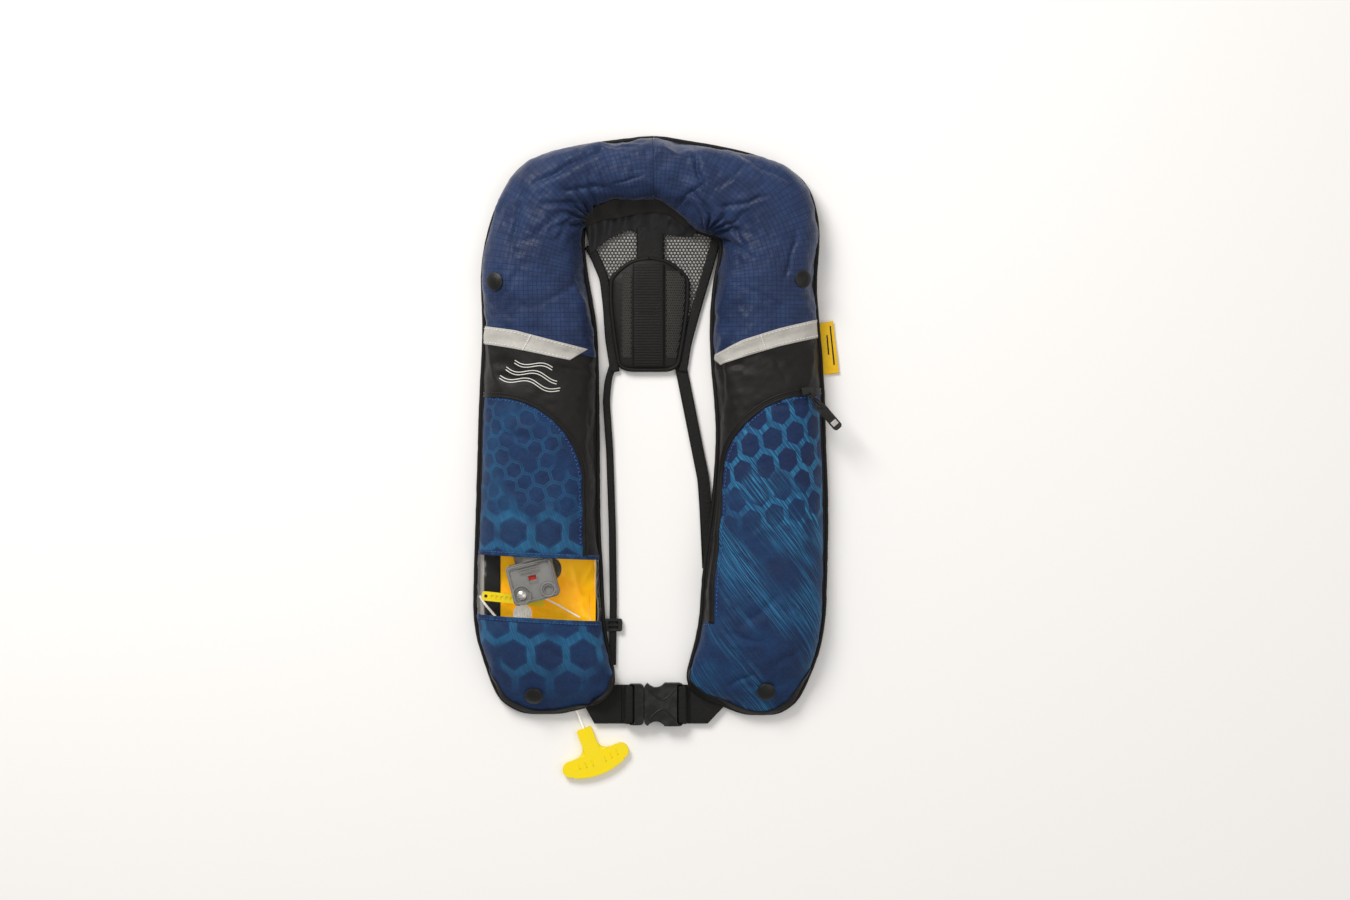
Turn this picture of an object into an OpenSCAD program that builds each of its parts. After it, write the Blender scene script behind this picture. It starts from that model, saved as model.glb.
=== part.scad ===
// Inflatable life jacket, lying flat and face up. Millimetres.
// Origin: the centre of the back of the neck, on the plane the jacket rests on.
// +X to the jacket's own left front (the zip side), +Y towards the collar's crown, +Z up.

/* [Fronts and collar] */
// Height of the two fronts above their rim
front_h = 32; // [28:1:34]
// Height of the collar above its rim
collar_h = 38; // [34:1:42]
// Height of the covers' rim above the rest plane
rim_z = 7.4; // [7.4:0.1:8]
// Thickness of the padded cover fabric
cover_t = 1.6; // [1.2:0.1:2]
// Thickness of the back fabric
back_t = 2; // [1.5:0.1:2]
// Radius of the piping
piping_r = 2.4; // [2:0.1:2.5]
// Squareness of the puffed cross-section (2 is an ellipse)
puff_n = 2.6; // [2.2:0.1:3]
// Gap between the fronts' covers and the collar's covers at the fold
fold_gap = 7; // [6:1:9]

/* [Webbing and buckle] */
// Width of the waist webbing
webbing_w = 38; // [36:1:40]
// Thickness of all webbing
webbing_t = 1.6; // [1.2:0.1:1.6]
// Width of the right back strap
strap_w = 12; // [10:1:14]
// Height of the buckle above the rest plane, at its top face
buckle_top = 13; // [12:0.5:14]
// Width of the buckle across the webbing
buckle_w = 41; // [40:1:43]

/* [Inflator] */
// Tilt of the inflator in the left front
inflator_tilt = 14.5; // [13:0.5:16]
// Radius of the gas cylinder
cylinder_r = 12.5; // [11:0.5:12.5]
// Length of the gas cylinder's straight body
cylinder_l = 82; // [70:1:84]
// Radius of the firing pin
firing_pin_r = 2.95; // [2.9:0.01:2.97]
// Radius of the lever's pivot pin
pivot_r = 2.45; // [2.4:0.01:2.48]

/* [Fittings] */
// Diameter of the snap caps
snap_d = 17; // [15:1:18]
// Width of the zip's tape
zip_w = 5; // [4:0.5:6]
// Width across the pull handle
handle_w = 66; // [60:1:70]

/* [Hidden] */
$fn = 48;

// ---- colours ----
navy = [0.10, 0.17, 0.36];
print_blue = [0.08, 0.20, 0.40];
black = [0.06, 0.06, 0.07];
grey = [0.45, 0.47, 0.49];
silver = [0.74, 0.73, 0.70];
yellow = [0.97, 0.83, 0.10];
bladder_yellow = [0.98, 0.66, 0.05];

// ---- rails: one row per station across a front or round the collar ----
// A row is [outer x, outer y, inner x, inner y, height factor, rim height above rim_z].
fold_y = -184;
front_left_rows = [
    [-164, -184, -52.5, -184, 1, 0], [-165.5, -215, -52, -215, 1, 0],
    [-167, -266, -51.5, -266, 1, 0], [-169, -332, -51, -332, 1, 0],
    [-170.5, -380, -48.5, -380, 1, 0], [-170.5, -431, -46, -431, 1, 0],
    [-161.5, -465, -40, -465, 0.88, 0], [-152.5, -490, -35, -490, 0.62, 0],
    [-143, -505, -50, -504, 0.36, 0], [-118, -517, -88, -515, 0.08, 0]
];
front_right_rows = [
    [160, -184, 54, -184, 1, 0], [162, -215, 57, -215, 1, 0],
    [163, -256, 59, -256, 1, 0], [165, -313, 55, -313, 1, 0],
    [165, -351, 50, -351, 1, 0], [164, -389, 45.5, -389, 1, 0],
    [162.5, -427, 43, -427, 0.98, 0], [156, -460, 36, -460, 0.84, 0],
    [143.5, -490, 30, -488, 0.56, 0], [133, -507, 56, -504, 0.34, 0],
    [112, -518, 86, -516, 0.08, 0]
];
collar_left_rows = [
    [0, 32, 0, -31, 1, 0], [-51, 26, -30, -33, 1, 0], [-92, 18, -52, -37, 1, 0],
    [-128, 3, -61, -46, 0.98, 0], [-150, -35, -66, -58, 0.96, 0],
    [-161.5, -76, -65, -82, 0.93, 0], [-164, -108, -60.5, -112, 0.9, 0],
    [-162.5, -147, -54.5, -147, 0.86, 0], [-163.5, -181, -52.7, -181, 0.84, 0]
];
collar_right_rows = [
    [0, 32, 0, -31, 1, 0], [48, 24.5, 21, -42, 1, 0], [90, 15.5, 36, -58, 1, 0],
    [126, 2, 52, -64, 0.98, 0], [148, -17, 61, -63, 0.96, 0],
    [157, -58, 62.5, -78, 0.93, 0], [154, -104, 56, -107, 0.9, 0],
    [157, -147, 53.2, -147, 0.86, 0], [160, -181, 54, -181, 0.84, 0]
];

// Where the covers change piece
print_top_y = fold_y - fold_gap / 2;
collar_end_y = fold_y + fold_gap / 2;
window_top_y = -363;
window_end_y = -424;
strip_y = -147;

// ---- smooth curves ----
function smooth(P, u) =
    let(
        i = min(floor(u), len(P) - 2), f = u - i,
        a = P[max(i - 1, 0)], b = P[i], c = P[i + 1], d = P[min(i + 2, len(P) - 1)]
    )
    0.5 * (2 * b + (c - a) * f + (2 * a - 5 * b + 4 * c - d) * f * f
        + (3 * b - a - 3 * c + d) * f * f * f);
// Station number at which a rail's outer edge passes a given y, found by halving
function station(P, y, lo, hi, k = 14) =
    k == 0 ? (lo + hi) / 2
    : let(m = (lo + hi) / 2)
        smooth(P, m)[1] > y ? station(P, y, m, hi, k - 1) : station(P, y, lo, m, k - 1);
function steps(a, b, n) = [for (i = [0:n]) a + (b - a) * i / n];
function front_station(P, y) = station(P, y, 0, len(P) - 1);
function collar_station(P, y) = station(P, y, 4, len(P) - 1);

// ---- the puffed section ----
// Across position s runs 0 (outer edge) to 1 (inner edge); the dome is a superellipse.
function signed_pow(v, e) = (v < 0 ? -1 : 1) * pow(abs(v), e);
function dome_point(row, h, s, t = 0) =
    let(
        a = [row[0], row[1]], b = [row[2], row[3]], mid = (a + b) / 2,
        half = norm(b - a) / 2, dir = (b - a) / (2 * half),
        across = -signed_pow(cos(180 * s), 2 / puff_n), up = signed_pow(sin(180 * s), 2 / puff_n),
        p = mid + dir * (half - t) * across
    )
    [p[0], p[1], rim_z + row[5] + max(h * row[4] - t, 0.4) * up];
function dome_normal(P, h, u, s) =
    let(
        e = 0.02,
        along = dome_point(smooth(P, u + e), h, s) - dome_point(smooth(P, u - e), h, s),
        over = dome_point(smooth(P, u), h, s + e) - dome_point(smooth(P, u), h, s - e),
        n = cross(along, over)
    )
    n / norm(n) * (n[2] < 0 ? -1 : 1);

// ---- solids from rings of points ----
// Rings all have m points; a ring's point k faces point m - 1 - k, so the end caps are ladders.
module skin(rings) {
    m = len(rings[0]);
    n = len(rings);
    points = [for (r = rings) for (p = r) p];
    sides = [
        for (i = [0:n - 2]) for (k = [0:m - 1])
            let(a = i * m + k, b = i * m + (k + 1) % m, c = a + m, d = b + m)
            each [[a, c, b], [b, c, d]]
    ];
    cap = [for (k = [0:m / 2 - 2]) each [[k, k + 1, m - 1 - k], [k + 1, m - 2 - k, m - 1 - k]]];
    last = (n - 1) * m;
    far_cap = [for (f = cap) [last + f[0], last + f[2], last + f[1]]];
    polyhedron(points, concat(sides, cap, far_cap), convexity = 6);
}
// Hollow cover, open underneath, of thickness t
module cover_shell(P, h, from, to, n, k = 11, t = cover_t) {
    skin([
        for (u = steps(from, to, n))
            let(row = smooth(P, u))
            concat(
                [for (s = steps(0, 1, k)) dome_point(row, h, s)],
                [for (s = steps(1, 0, k)) dome_point(row, h, s, t)]
            )
    ]);
}
// Puffed solid inside a cover: inset by gap, with its own base and height
module puffed_solid(P, h, from, to, n, gap, base, k = 9) {
    skin([
        for (u = steps(from, to, n))
            let(row = smooth(P, u))
            concat(
                [for (s = steps(0, 1, k)) dome_point(row, h, s, gap) + [0, 0, base + 1 - rim_z]],
                [for (s = steps(1, 0, k)) let(p = dome_point(row, h, s, gap)) [p[0], p[1], base]]
            )
    ]);
}
// Cord or piping of radius r along a list of points, with flat ends
module cord(path, r, k = 8) {
    n = len(path) - 1;
    skin([
        for (i = [0:n])
            let(
                t = path[min(i + 1, n)] - path[max(i - 1, 0)], d = t / norm(t),
                side = cross([0, 0, 1], d), w = side / norm(side), up = cross(d, w)
            )
            [for (j = [0:k - 1]) path[i] + r * (cos(360 * j / k) * w + sin(360 * j / k) * up)]
    ]);
}
// Band lying on a cover's dome, lift above it, along points given as [station, across]
module band_on_dome(P, h, marks, w, lift, t) {
    path = [for (q = marks) dome_point(smooth(P, q[0]), h, q[1])];
    ups = [for (q = marks) dome_normal(P, h, q[0], q[1])];
    n = len(path) - 1;
    skin([
        for (i = [0:n])
            let(
                run = path[min(i + 1, n)] - path[max(i - 1, 0)],
                side = cross(run, ups[i]), w_dir = side / norm(side) * w / 2,
                low = path[i] + ups[i] * lift, high = path[i] + ups[i] * (lift + t)
            )
            [low - w_dir, low + w_dir, high + w_dir, high - w_dir]
    ]);
}
// Flat outline of a front or the collar, pulled in by gap
function rail_outline(P, us, gap) = concat(
    [for (u = us) let(r = smooth(P, u)) edge_in(r, gap)],
    [for (i = [len(us) - 1:-1:0]) let(r = smooth(P, us[i])) edge_in([r[2], r[3], r[0], r[1]], gap)]
);
function edge_in(r, gap) =
    let(d = [r[2] - r[0], r[3] - r[1]]) [r[0], r[1]] + d / norm(d) * gap;
// Puts its children on a cover's dome, +Z along the outward normal, lift above the surface
module on_dome(P, h, u, s, lift) {
    p = dome_point(smooth(P, u), h, s);
    n = dome_normal(P, h, u, s);
    translate(p + n * lift) rotate([0, acos(n[2]), atan2(n[1], n[0])]) children();
}
module rounded_plate(x0, y0, x1, y1, r, z0, z1) {
    translate([0, 0, z0]) linear_extrude(z1 - z0) {
        translate([x0 + r, y0]) square([x1 - x0 - 2 * r, y1 - y0]);
        translate([x0, y0 + r]) square([x1 - x0, y1 - y0 - 2 * r]);
        for (x = [x0 + r, x1 - r]) for (y = [y0 + r, y1 - r]) translate([x, y]) circle(r);
    }
}
module slab(points, z0, t) {
    translate([0, 0, z0]) linear_extrude(t) polygon(points);
}

// ---- stations used by several pieces ----
left_top = front_station(front_left_rows, print_top_y);
left_window = front_station(front_left_rows, window_top_y);
left_window_end = front_station(front_left_rows, window_end_y);
left_end = len(front_left_rows) - 1;
right_top = front_station(front_right_rows, print_top_y);
right_end = len(front_right_rows) - 1;
collar_left_end = collar_station(collar_left_rows, collar_end_y);
collar_right_end = collar_station(collar_right_rows, collar_end_y);
left_strip = collar_station(collar_left_rows, strip_y);
right_strip = collar_station(collar_right_rows, strip_y);
web_z = 4.3;
strap_z = 2.3;

// ==== collar ====
module collar_back() {
    us_left = steps(0, collar_left_end, 16);
    us_right = steps(0, collar_right_end, 16);
    inset = 2 * piping_r + 0.6;
    color(black) {
        slab(rail_outline(collar_left_rows, us_left, inset), 0, back_t);
        slab(rail_outline(collar_right_rows, us_right, inset), 0, back_t);
    }
}
module collar_cover_left() {
    u = collar_station(collar_left_rows, -107);
    color(navy) difference() {
        cover_shell(collar_left_rows, collar_h, 0.012, left_strip - 0.02, 15);
        on_dome(collar_left_rows, collar_h, u, upper_snap_s, 0) cylinder(h = 12, r = 2.2, center = true);
    }
}
module collar_cover_right() {
    u = collar_station(collar_right_rows, -105);
    color(navy) difference() {
        cover_shell(collar_right_rows, collar_h, 0.012, right_strip - 0.02, 15);
        on_dome(collar_right_rows, collar_h, u, upper_snap_s, 0) cylinder(h = 12, r = 2.2, center = true);
    }
}
module shoulder_panel_left() {
    color(black)
        cover_shell(collar_left_rows, collar_h, left_strip, collar_left_end, 3);
}
module shoulder_panel_right() {
    color(black)
        cover_shell(collar_right_rows, collar_h, right_strip, collar_right_end, 3);
}
// Deflated bladder folded into the collar, in one piece from shoulder to shoulder
module collar_bladder() {
    gap = 6;
    low = 0.8;
    n = 12;
    base = back_t + 1.2;
    left = [for (u = steps(collar_left_end - 0.05, 0, n)) smooth(collar_left_rows, u)];
    right = [for (u = steps(0, collar_right_end - 0.05, n)) if (u > 0) smooth(collar_right_rows, u)];
    // Right-hand rows keep outer and inner, so the section turns the same way all round
    rows = concat(left, right);
    color(bladder_yellow) skin([
        for (row = rows)
            concat(
                [for (s = steps(0, 1, 8)) dome_point(row, collar_h * low, s, gap) + [0, 0, base - rim_z + 1]],
                [for (s = steps(1, 0, 8)) let(p = dome_point(row, collar_h * low, s, gap)) [p[0], p[1], base]]
            )
    ]);
}
function edge_path(P, us, z) =
    [for (u = us) let(p = edge_in(smooth(P, u), piping_r + 0.2)) [p[0], p[1], z]];
module collar_piping() {
    z = back_t + 0.3 + piping_r;
    left = edge_path(collar_left_rows, steps(collar_left_end, 0, 14), z);
    right = edge_path(collar_right_rows, [for (u = steps(0, collar_right_end, 14)) if (u > 0) u], z);
    color(black) cord(concat(left, right), piping_r);
}
module neck_lining() {
    color(black) slab([
        [-63, -52], [-56, -43], [-45, -37.5], [-20, -35.5], [-1, -34.5], [10, -39], [22, -46],
        [34, -61], [34, -65.5], [0, -67], [-40, -67], [-60, -65.5]
    ], back_t + 0.4, 5);
}
module neck_tape() {
    color(black) slab([
        [-52, -41.5], [-30, -37], [-1, -35.5], [10, -40], [10, -43], [-1, -39.5], [-30, -41], [-50, -46]
    ], back_t + 5.6, 1.2);
}
// Slanted reflective strip lying on a shoulder panel
module reflector(P, u, slope) {
    n = 8;
    marks = [for (i = [0:n]) let(s = 0.2 + 0.56 * i / n) [u + slope * i / n, s]];
    color(silver) band_on_dome(P, collar_h, marks, 17, 0.7, 0.6);
}
module reflector_left() {
    reflector(collar_left_rows, collar_station(collar_left_rows, -159), 0.32);
}
module reflector_right() {
    reflector(collar_right_rows, collar_station(collar_right_rows, -156), 0.32);
}
yoke_outline = [
    [-50, -68], [55, -68], [50, -92], [45, -125], [38, -155], [29.5, -192], [-42, -192],
    [-46, -155], [-50, -120], [-54, -92]
];
module yoke_mesh() {
    color(grey) slab(yoke_outline, 0.2, 1.8);
}
module yoke_binding() {
    inner = [
        [-42, -74], [46, -74], [42, -92], [37, -125], [31, -155], [24, -186], [-36.5, -186],
        [-40, -155], [-44, -120], [-46, -92]
    ];
    color(black) difference() {
        slab(yoke_outline, 2.1, 1.6);
        slab(inner, 1, 5);
    }
}
module back_pad() {
    pad_cx = -4;
    pad_rx = 27;
    top = [for (a = steps(0, 180, 12)) [pad_cx + pad_rx * cos(a), -104 + 20 * sin(a)]];
    color(black) slab(concat(top, [[-29, -150], [-27, -184], [18, -184], [21, -150]]), 3.9, 4.5);
}
module pad_webbing() {
    color(black) translate([-17, -186, 8.6]) cube([26, 112, webbing_t]);
}
module yellow_tag() {
    color(yellow) slab([[160.6, -149], [171, -144], [176, -171], [175, -193], [164, -195]], strap_z, 0.9);
}

// ==== snaps ====
upper_snap_s = 0.283;
lower_snap_s = 0.42;
left_snap_u = front_station(front_left_rows, -497);
right_snap_u = front_station(front_right_rows, -494);
// Cap with its post; the cap's underside is at z = 0
module snap_cap() {
    edge_h = 1.2;
    crown_h = 1.9;
    crown_r = (pow(snap_d / 2, 2) + pow(crown_h, 2)) / (2 * crown_h);
    color(black) {
        cylinder(h = edge_h, d = snap_d);
        intersection() {
            translate([0, 0, edge_h + crown_h - crown_r]) sphere(crown_r, $fn = 96);
            translate([0, 0, edge_h - 0.2]) cylinder(h = crown_h + 0.3, d = snap_d);
        }
        translate([0, 0, -5.4]) cylinder(h = 5.6, r = 1.9);
    }
}
// Ring stud held on the fabric underneath the cover
module snap_stud() {
    color(silver) translate([0, 0, -7.4]) difference() {
        cylinder(h = 3, r = 4.5);
        translate([0, 0, -1]) cylinder(h = 5, r = 1.97);
    }
}
snap_lift = 1.3;
module snap_at(side, upper) {
    P = upper ? (side < 0 ? collar_left_rows : collar_right_rows)
        : (side < 0 ? front_left_rows : front_right_rows);
    u = upper ? collar_station(P, side < 0 ? -107 : -105) : (side < 0 ? left_snap_u : right_snap_u);
    on_dome(P, upper ? collar_h : front_h, u, upper ? upper_snap_s : lower_snap_s, snap_lift) children();
}
module snap_cap_upper_left() { snap_at(-1, true) snap_cap(); }
module snap_cap_upper_right() { snap_at(1, true) snap_cap(); }
module snap_cap_lower_left() { snap_at(-1, false) snap_cap(); }
module snap_cap_lower_right() { snap_at(1, false) snap_cap(); }
module snap_studs_upper() {
    snap_at(-1, true) snap_stud();
    snap_at(1, true) snap_stud();
}
module snap_studs_lower() {
    snap_at(-1, false) snap_stud();
    snap_at(1, false) snap_stud();
}

// ==== fronts: fabric ====
// Room under the left corner for the belt and the released buckle plug
tunnel_x = -48;
tunnel_y = -484;
tunnel_h = buckle_top + 0.8;
module tunnel() {
    translate([tunnel_x, -540, -1]) cube([60, 540 + tunnel_y, tunnel_h + 1]);
}
module back_left() {
    inset = 2 * piping_r + 0.6;
    color(black) difference() {
        slab(rail_outline(front_left_rows, steps(left_top, left_end - 0.3, 22), inset), 0, back_t);
        tunnel();
    }
}
module back_right() {
    inset = 2 * piping_r + 0.6;
    color(black)
        slab(rail_outline(front_right_rows, steps(right_top, right_end - 0.3, 22), inset), 0, back_t);
}
module upper_cover_left() {
    color(print_blue) cover_shell(front_left_rows, front_h, left_top, left_window - 0.01, 9);
}
module inflator_window() {
    color([0.9, 0.95, 1, 0.3])
        cover_shell(front_left_rows, front_h, left_window, left_window_end, 4, t = 0.8);
}
module lower_flap_left() {
    color(print_blue) difference() {
        cover_shell(front_left_rows, front_h, left_window_end + 0.01, left_end, 12);
        tunnel();
        on_dome(front_left_rows, front_h, left_snap_u, lower_snap_s, 0) cylinder(h = 10, r = 2.2, center = true);
    }
}
module front_cover_right() {
    color(print_blue) difference() {
        cover_shell(front_right_rows, front_h, right_top, right_end, 22);
        on_dome(front_right_rows, front_h, right_snap_u, lower_snap_s, 0)
            cylinder(h = 10, r = 2.2, center = true);
    }
}
// Left bladder: a folded pack beside the cylinder, a thin sheet under the inflator, a pack in the flap.
// Rows are [outer x, y, inner x, y, height factor, rim offset].
module bladder_left() {
    base = back_t + 0.4;
    pack = 0.6;
    sheet = 0.045;
    rows = [
        [-104, -194, -62, -194, pack, 0], [-104, -250, -62, -250, pack, 0],
        [-104, -335, -61, -335, pack, 0], [-108, -350, -60, -350, 0.2, 0],
        [-140, -362, -57, -362, sheet, 0], [-154, -380, -56, -380, sheet, 0],
        [-154, -424, -55, -424, sheet, 0], [-150, -436, -55, -436, 0.3, 0],
        [-146, -452, -55, -452, 0.4, 0], [-138, -464, -58, -464, 0.34, 0],
        [-130, -475, -64, -475, 0.2, 0]
    ];
    color(bladder_yellow) puffed_solid(rows, front_h, 0, len(rows) - 1, 30, 0, base);
}
module bladder_right() {
    base = back_t + 3.6;
    rows = [
        [118, -194, 66, -194, 0.7, 0], [118, -300, 66, -300, 0.7, 0], [118, -400, 62, -400, 0.7, 0],
        [116, -450, 58, -450, 0.55, 0], [112, -478, 62, -478, 0.3, 0]
    ];
    color(bladder_yellow) puffed_solid(rows, front_h, 0, len(rows) - 1, 20, 0, base);
}
module piping_left() {
    z = back_t + 0.3 + piping_r;
    color(black) cord(edge_path(front_left_rows, steps(left_top + 0.02, left_end - 0.35, 20), z), piping_r);
}
module piping_right() {
    z = back_t + 0.3 + piping_r;
    color(black) cord(edge_path(front_right_rows, steps(right_top + 0.02, right_end - 0.35, 20), z), piping_r);
}

// ==== zips ====
// The zip path in plan: a straight lead-in, a quarter turn, then a straight run down the inner side.
// A plan point becomes [station, across] by undoing the superellipse.
function mark_at(P, h, x, y) =
    let(
        u = front_station(P, y), row = smooth(P, u), mid = (row[0] + row[2]) / 2,
        half = abs(row[2] - row[0]) / 2, dir = row[2] > row[0] ? 1 : -1,
        across = min(max((x - mid) * dir / half, -0.985), 0.985),
        c = signed_pow(-across, puff_n / 2)
    )
    [u, acos(c) / 180];
zip_cx = 148;
zip_cy = -297;
zip_arc_r = 86;
module zip_chain_right() {
    arc = [for (a = steps(91, 180, 12)) [zip_cx + zip_arc_r * cos(a), zip_cy + zip_arc_r * sin(a)]];
    run = [[60.5, -330], [58, -365], [55, -395], [54, -421]];
    marks = [for (p = concat(arc, run)) mark_at(front_right_rows, front_h, p[0], p[1])];
    color(black) band_on_dome(front_right_rows, front_h, marks, zip_w, 0.7, 1);
}
module zip_band_left() {
    cx = -150;
    cy = -298;
    r = 84;
    arc = [for (a = steps(91, 0, 12)) [cx + r * cos(a), cy + r * sin(a)]];
    run = [[-65.5, -318], [-65, -338], [-65, -358]];
    marks = [for (p = concat(arc, run)) mark_at(front_left_rows, front_h, p[0], p[1])];
    color(black) band_on_dome(front_left_rows, front_h, marks, zip_w, 0.7, 1);
}
slider_mark = mark_at(front_right_rows, front_h, 143, -210.5);
slider_stop_mark = mark_at(front_right_rows, front_h, 129, -213);
slider_p = dome_point(smooth(front_right_rows, slider_mark[0]), front_h, slider_mark[1]);
slider_stop_p = dome_point(smooth(front_right_rows, slider_stop_mark[0]), front_h, slider_stop_mark[1]);
slider_n = dome_normal(front_right_rows, front_h, slider_mark[0], slider_mark[1]);
slider_lift = 3.2;
slider_dir = (slider_stop_p - slider_p) / norm(slider_stop_p - slider_p);
slider_o = slider_p + slider_n * slider_lift;
module slider_frame() {
    yaw = atan2(slider_dir[1], slider_dir[0]);
    pitch = -asin(slider_dir[2]);
    translate(slider_o) rotate([0, pitch, yaw]) children();
}
eye_p = slider_o + [4, -5.2, 4.6];
module zip_slider() {
    color(black) {
        slider_frame() {
            rounded_plate(-6, -4.2, 6, 4.2, 2, 0, 1.4);
            rounded_plate(-6, -3.4, 6, 3.4, 1.6, 2.6, 4);
            translate([-1.5, -1.2, 1]) cube([4, 2.4, 2]);
        }
        translate(eye_p) rotate([0, 0, puller_yaw]) difference() {
            translate([-3, -2.6, -4]) cube([4.2, 5.2, 5.6]);
            translate([-0.6, 0, -0.4]) rotate([90, 0, 0]) cylinder(h = 8, r = 1.05, center = true);
            translate([-4, -1.3, -2.8]) cube([6, 2.6, 6]);
        }
    }
}
puller_yaw = -49;
puller_drop = 11;
puller_l = 41;
// Cord eye on a cross pin, cord and rubber end; it lies along its own +X from the pin
module zip_puller() {
    color(black) translate(eye_p) rotate([0, 0, puller_yaw]) {
        translate([-0.6, 0, -0.4]) rotate([90, 0, 0]) cylinder(h = 5, r = 1, center = true);
        translate([-0.6, 0, -0.4]) rotate([0, puller_drop, 0]) {
            rotate([0, 90, 0]) cylinder(h = 14, r = 1);
            rounded_plate(12, -4.5, puller_l, 4.5, 3, -1.8, 1.8);
        }
    }
}

// ==== harness ====
module strap_left() {
    color(black) slab([
        [-44.5, -194], [-47, -218], [-44, -266], [-42, -340], [-42.5, -408], [-43.5, -470],
        [-35, -470], [-34.5, -408], [-37, -340], [-40, -266], [-43, -218], [-40, -194]
    ], strap_z, webbing_t);
}
module strap_right() {
    color(black) slab([
        [21, -194], [31, -244], [41, -294], [43, -323], [46, -380], [46 + strap_w, -380],
        [43 + strap_w, -323], [41 + strap_w, -294], [31 + strap_w, -244], [21 + strap_w, -194]
    ], strap_z, webbing_t);
}
adjuster_y = -432;
// Three-bar adjuster, the strap passing through between its two layers
module strap_adjuster() {
    color(black) difference() {
        rounded_plate(-47, adjuster_y - 6, -30, adjuster_y + 6, 2, 1.1, strap_z + webbing_t + 1.4);
        translate([-44.4, adjuster_y - 7, strap_z - 0.2]) cube([11.4, 14, webbing_t + 0.4]);
        for (y = [-3.6, 1.2]) translate([-43.6, adjuster_y + y, strap_z]) cube([9.8, 2.4, 5]);
    }
}
buckle_cy = -507;
socket_x = 28.5;
plug_x = -25;
bar_w = 3.6;
loop_w = webbing_w - 1;
// Webbing that turns round a buckle bar: two layers joined by a turn, drawn for the right end
module belt(bar_x, out) {
    top_z = buckle_top - 1.6;
    color(black) translate([bar_x, buckle_cy, 0]) rotate([0, 0, out > 0 ? 0 : 180]) {
        translate([-bar_w - 2.2, -loop_w / 2, web_z]) cube([bar_w + 46, loop_w, webbing_t]);
        translate([-bar_w - 2.2, -loop_w / 2, web_z]) cube([1.6, loop_w, top_z - web_z]);
        translate([-bar_w - 2.2, -loop_w / 2, top_z - webbing_t])
            cube([bar_w + 4.4, loop_w, webbing_t]);
        translate([0.6, -loop_w / 2, web_z]) cube([1.6, loop_w, top_z - web_z]);
    }
}
module belt_left() { belt(plug_x, -1); }
module belt_right() { belt(socket_x, 1); }
slot_half = loop_w / 2 + 0.6;
module buckle_socket() {
    mouth = -9;
    half = buckle_w / 2;
    low = 1;
    color(black) translate([0, buckle_cy, 0]) difference() {
        rounded_plate(mouth, -half, socket_x, half, 5, low, buckle_top);
        // hollow for the plug's arms and guide
        translate([mouth - 1, -14.4, 3.4]) cube([20, 28.8, 6.6]);
        // side windows where the arms show
        for (s = [-1, 1]) translate([-5.2, s > 0 ? 13 : -30, 2.4]) cube([14.6, 17, 8.6]);
        for (s = [-1, 1]) translate([2, s * (half + 5), -1]) cylinder(h = 30, r = 9.5);
        // belt slot behind the bar
        translate([socket_x - bar_w - 3, -slot_half, -1]) cube([3, 2 * slot_half, 30]);
        // the bar is thinner than the frame
        translate([socket_x - bar_w - 1, -slot_half, 8.6]) cube([bar_w + 2, 2 * slot_half, 10]);
        translate([socket_x - bar_w - 1, -slot_half, -1]) cube([bar_w + 2, 2 * slot_half, web_z + webbing_t + 1.3]);
    }
}
plug_end = -9.6;
arm_pivot_x = -15;
arm_pivot_y = 10.5;
module buckle_plug() {
    half = buckle_w / 2 - 1;
    color(black) translate([0, buckle_cy, 0]) difference() {
        union() {
            rounded_plate(plug_x, -half, plug_end, half, 4, 1, buckle_top);
            translate([plug_end - 1, -2.8, 4]) cube([18, 5.6, 5.4]);
        }
        translate([plug_x + bar_w, -slot_half, -1]) cube([3, 2 * slot_half, 30]);
        translate([plug_x - 1, -slot_half, 8.6]) cube([bar_w + 2, 2 * slot_half, 10]);
        translate([plug_x - 1, -slot_half, -1]) cube([bar_w + 2, 2 * slot_half, web_z + webbing_t + 1.3]);
        // pockets for the arms' roots
        for (s = [-1, 1]) translate([arm_pivot_x, s * arm_pivot_y, 3.6]) cylinder(h = 6.2, r = 2.9);
        for (s = [-1, 1]) translate([arm_pivot_x, s * arm_pivot_y - 4.6, 3.6]) cube([8, 9.2, 6.2]);
    }
}
// Springy arm: root knuckle, beam and latching head with the finger pad
module buckle_arm(s) {
    color(black) translate([0, buckle_cy, 4]) linear_extrude(5.4) mirror([0, s > 0 ? 0 : 1]) {
        translate([arm_pivot_x, arm_pivot_y]) circle(2.6);
        polygon([
            [arm_pivot_x, arm_pivot_y - 2], [6, 7.6], [8, 9.6], [7.4, 12.4], [3, 15], [-4.7, 18.6],
            [-4.7, 12.6], [arm_pivot_x, arm_pivot_y + 2]
        ]);
    }
}
module buckle_arm_upper() { buckle_arm(1); }
module buckle_arm_lower() { buckle_arm(-1); }

// ==== inflator ====
pivot = [-124, -402.4];
cyl_u = 17;
cyl_z = 21;
neck_r = 7.5;
run_gap = 0.06;
lever_rest = -20.6;
lever_z0 = 18.6;
lever_z1 = 24.6;
body_z0 = 8;
stem_u = 29.6;
stem_v = 16.8;
module inflator_frame() {
    translate([pivot[0], pivot[1], 0]) rotate([0, 0, inflator_tilt]) children();
}
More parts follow.
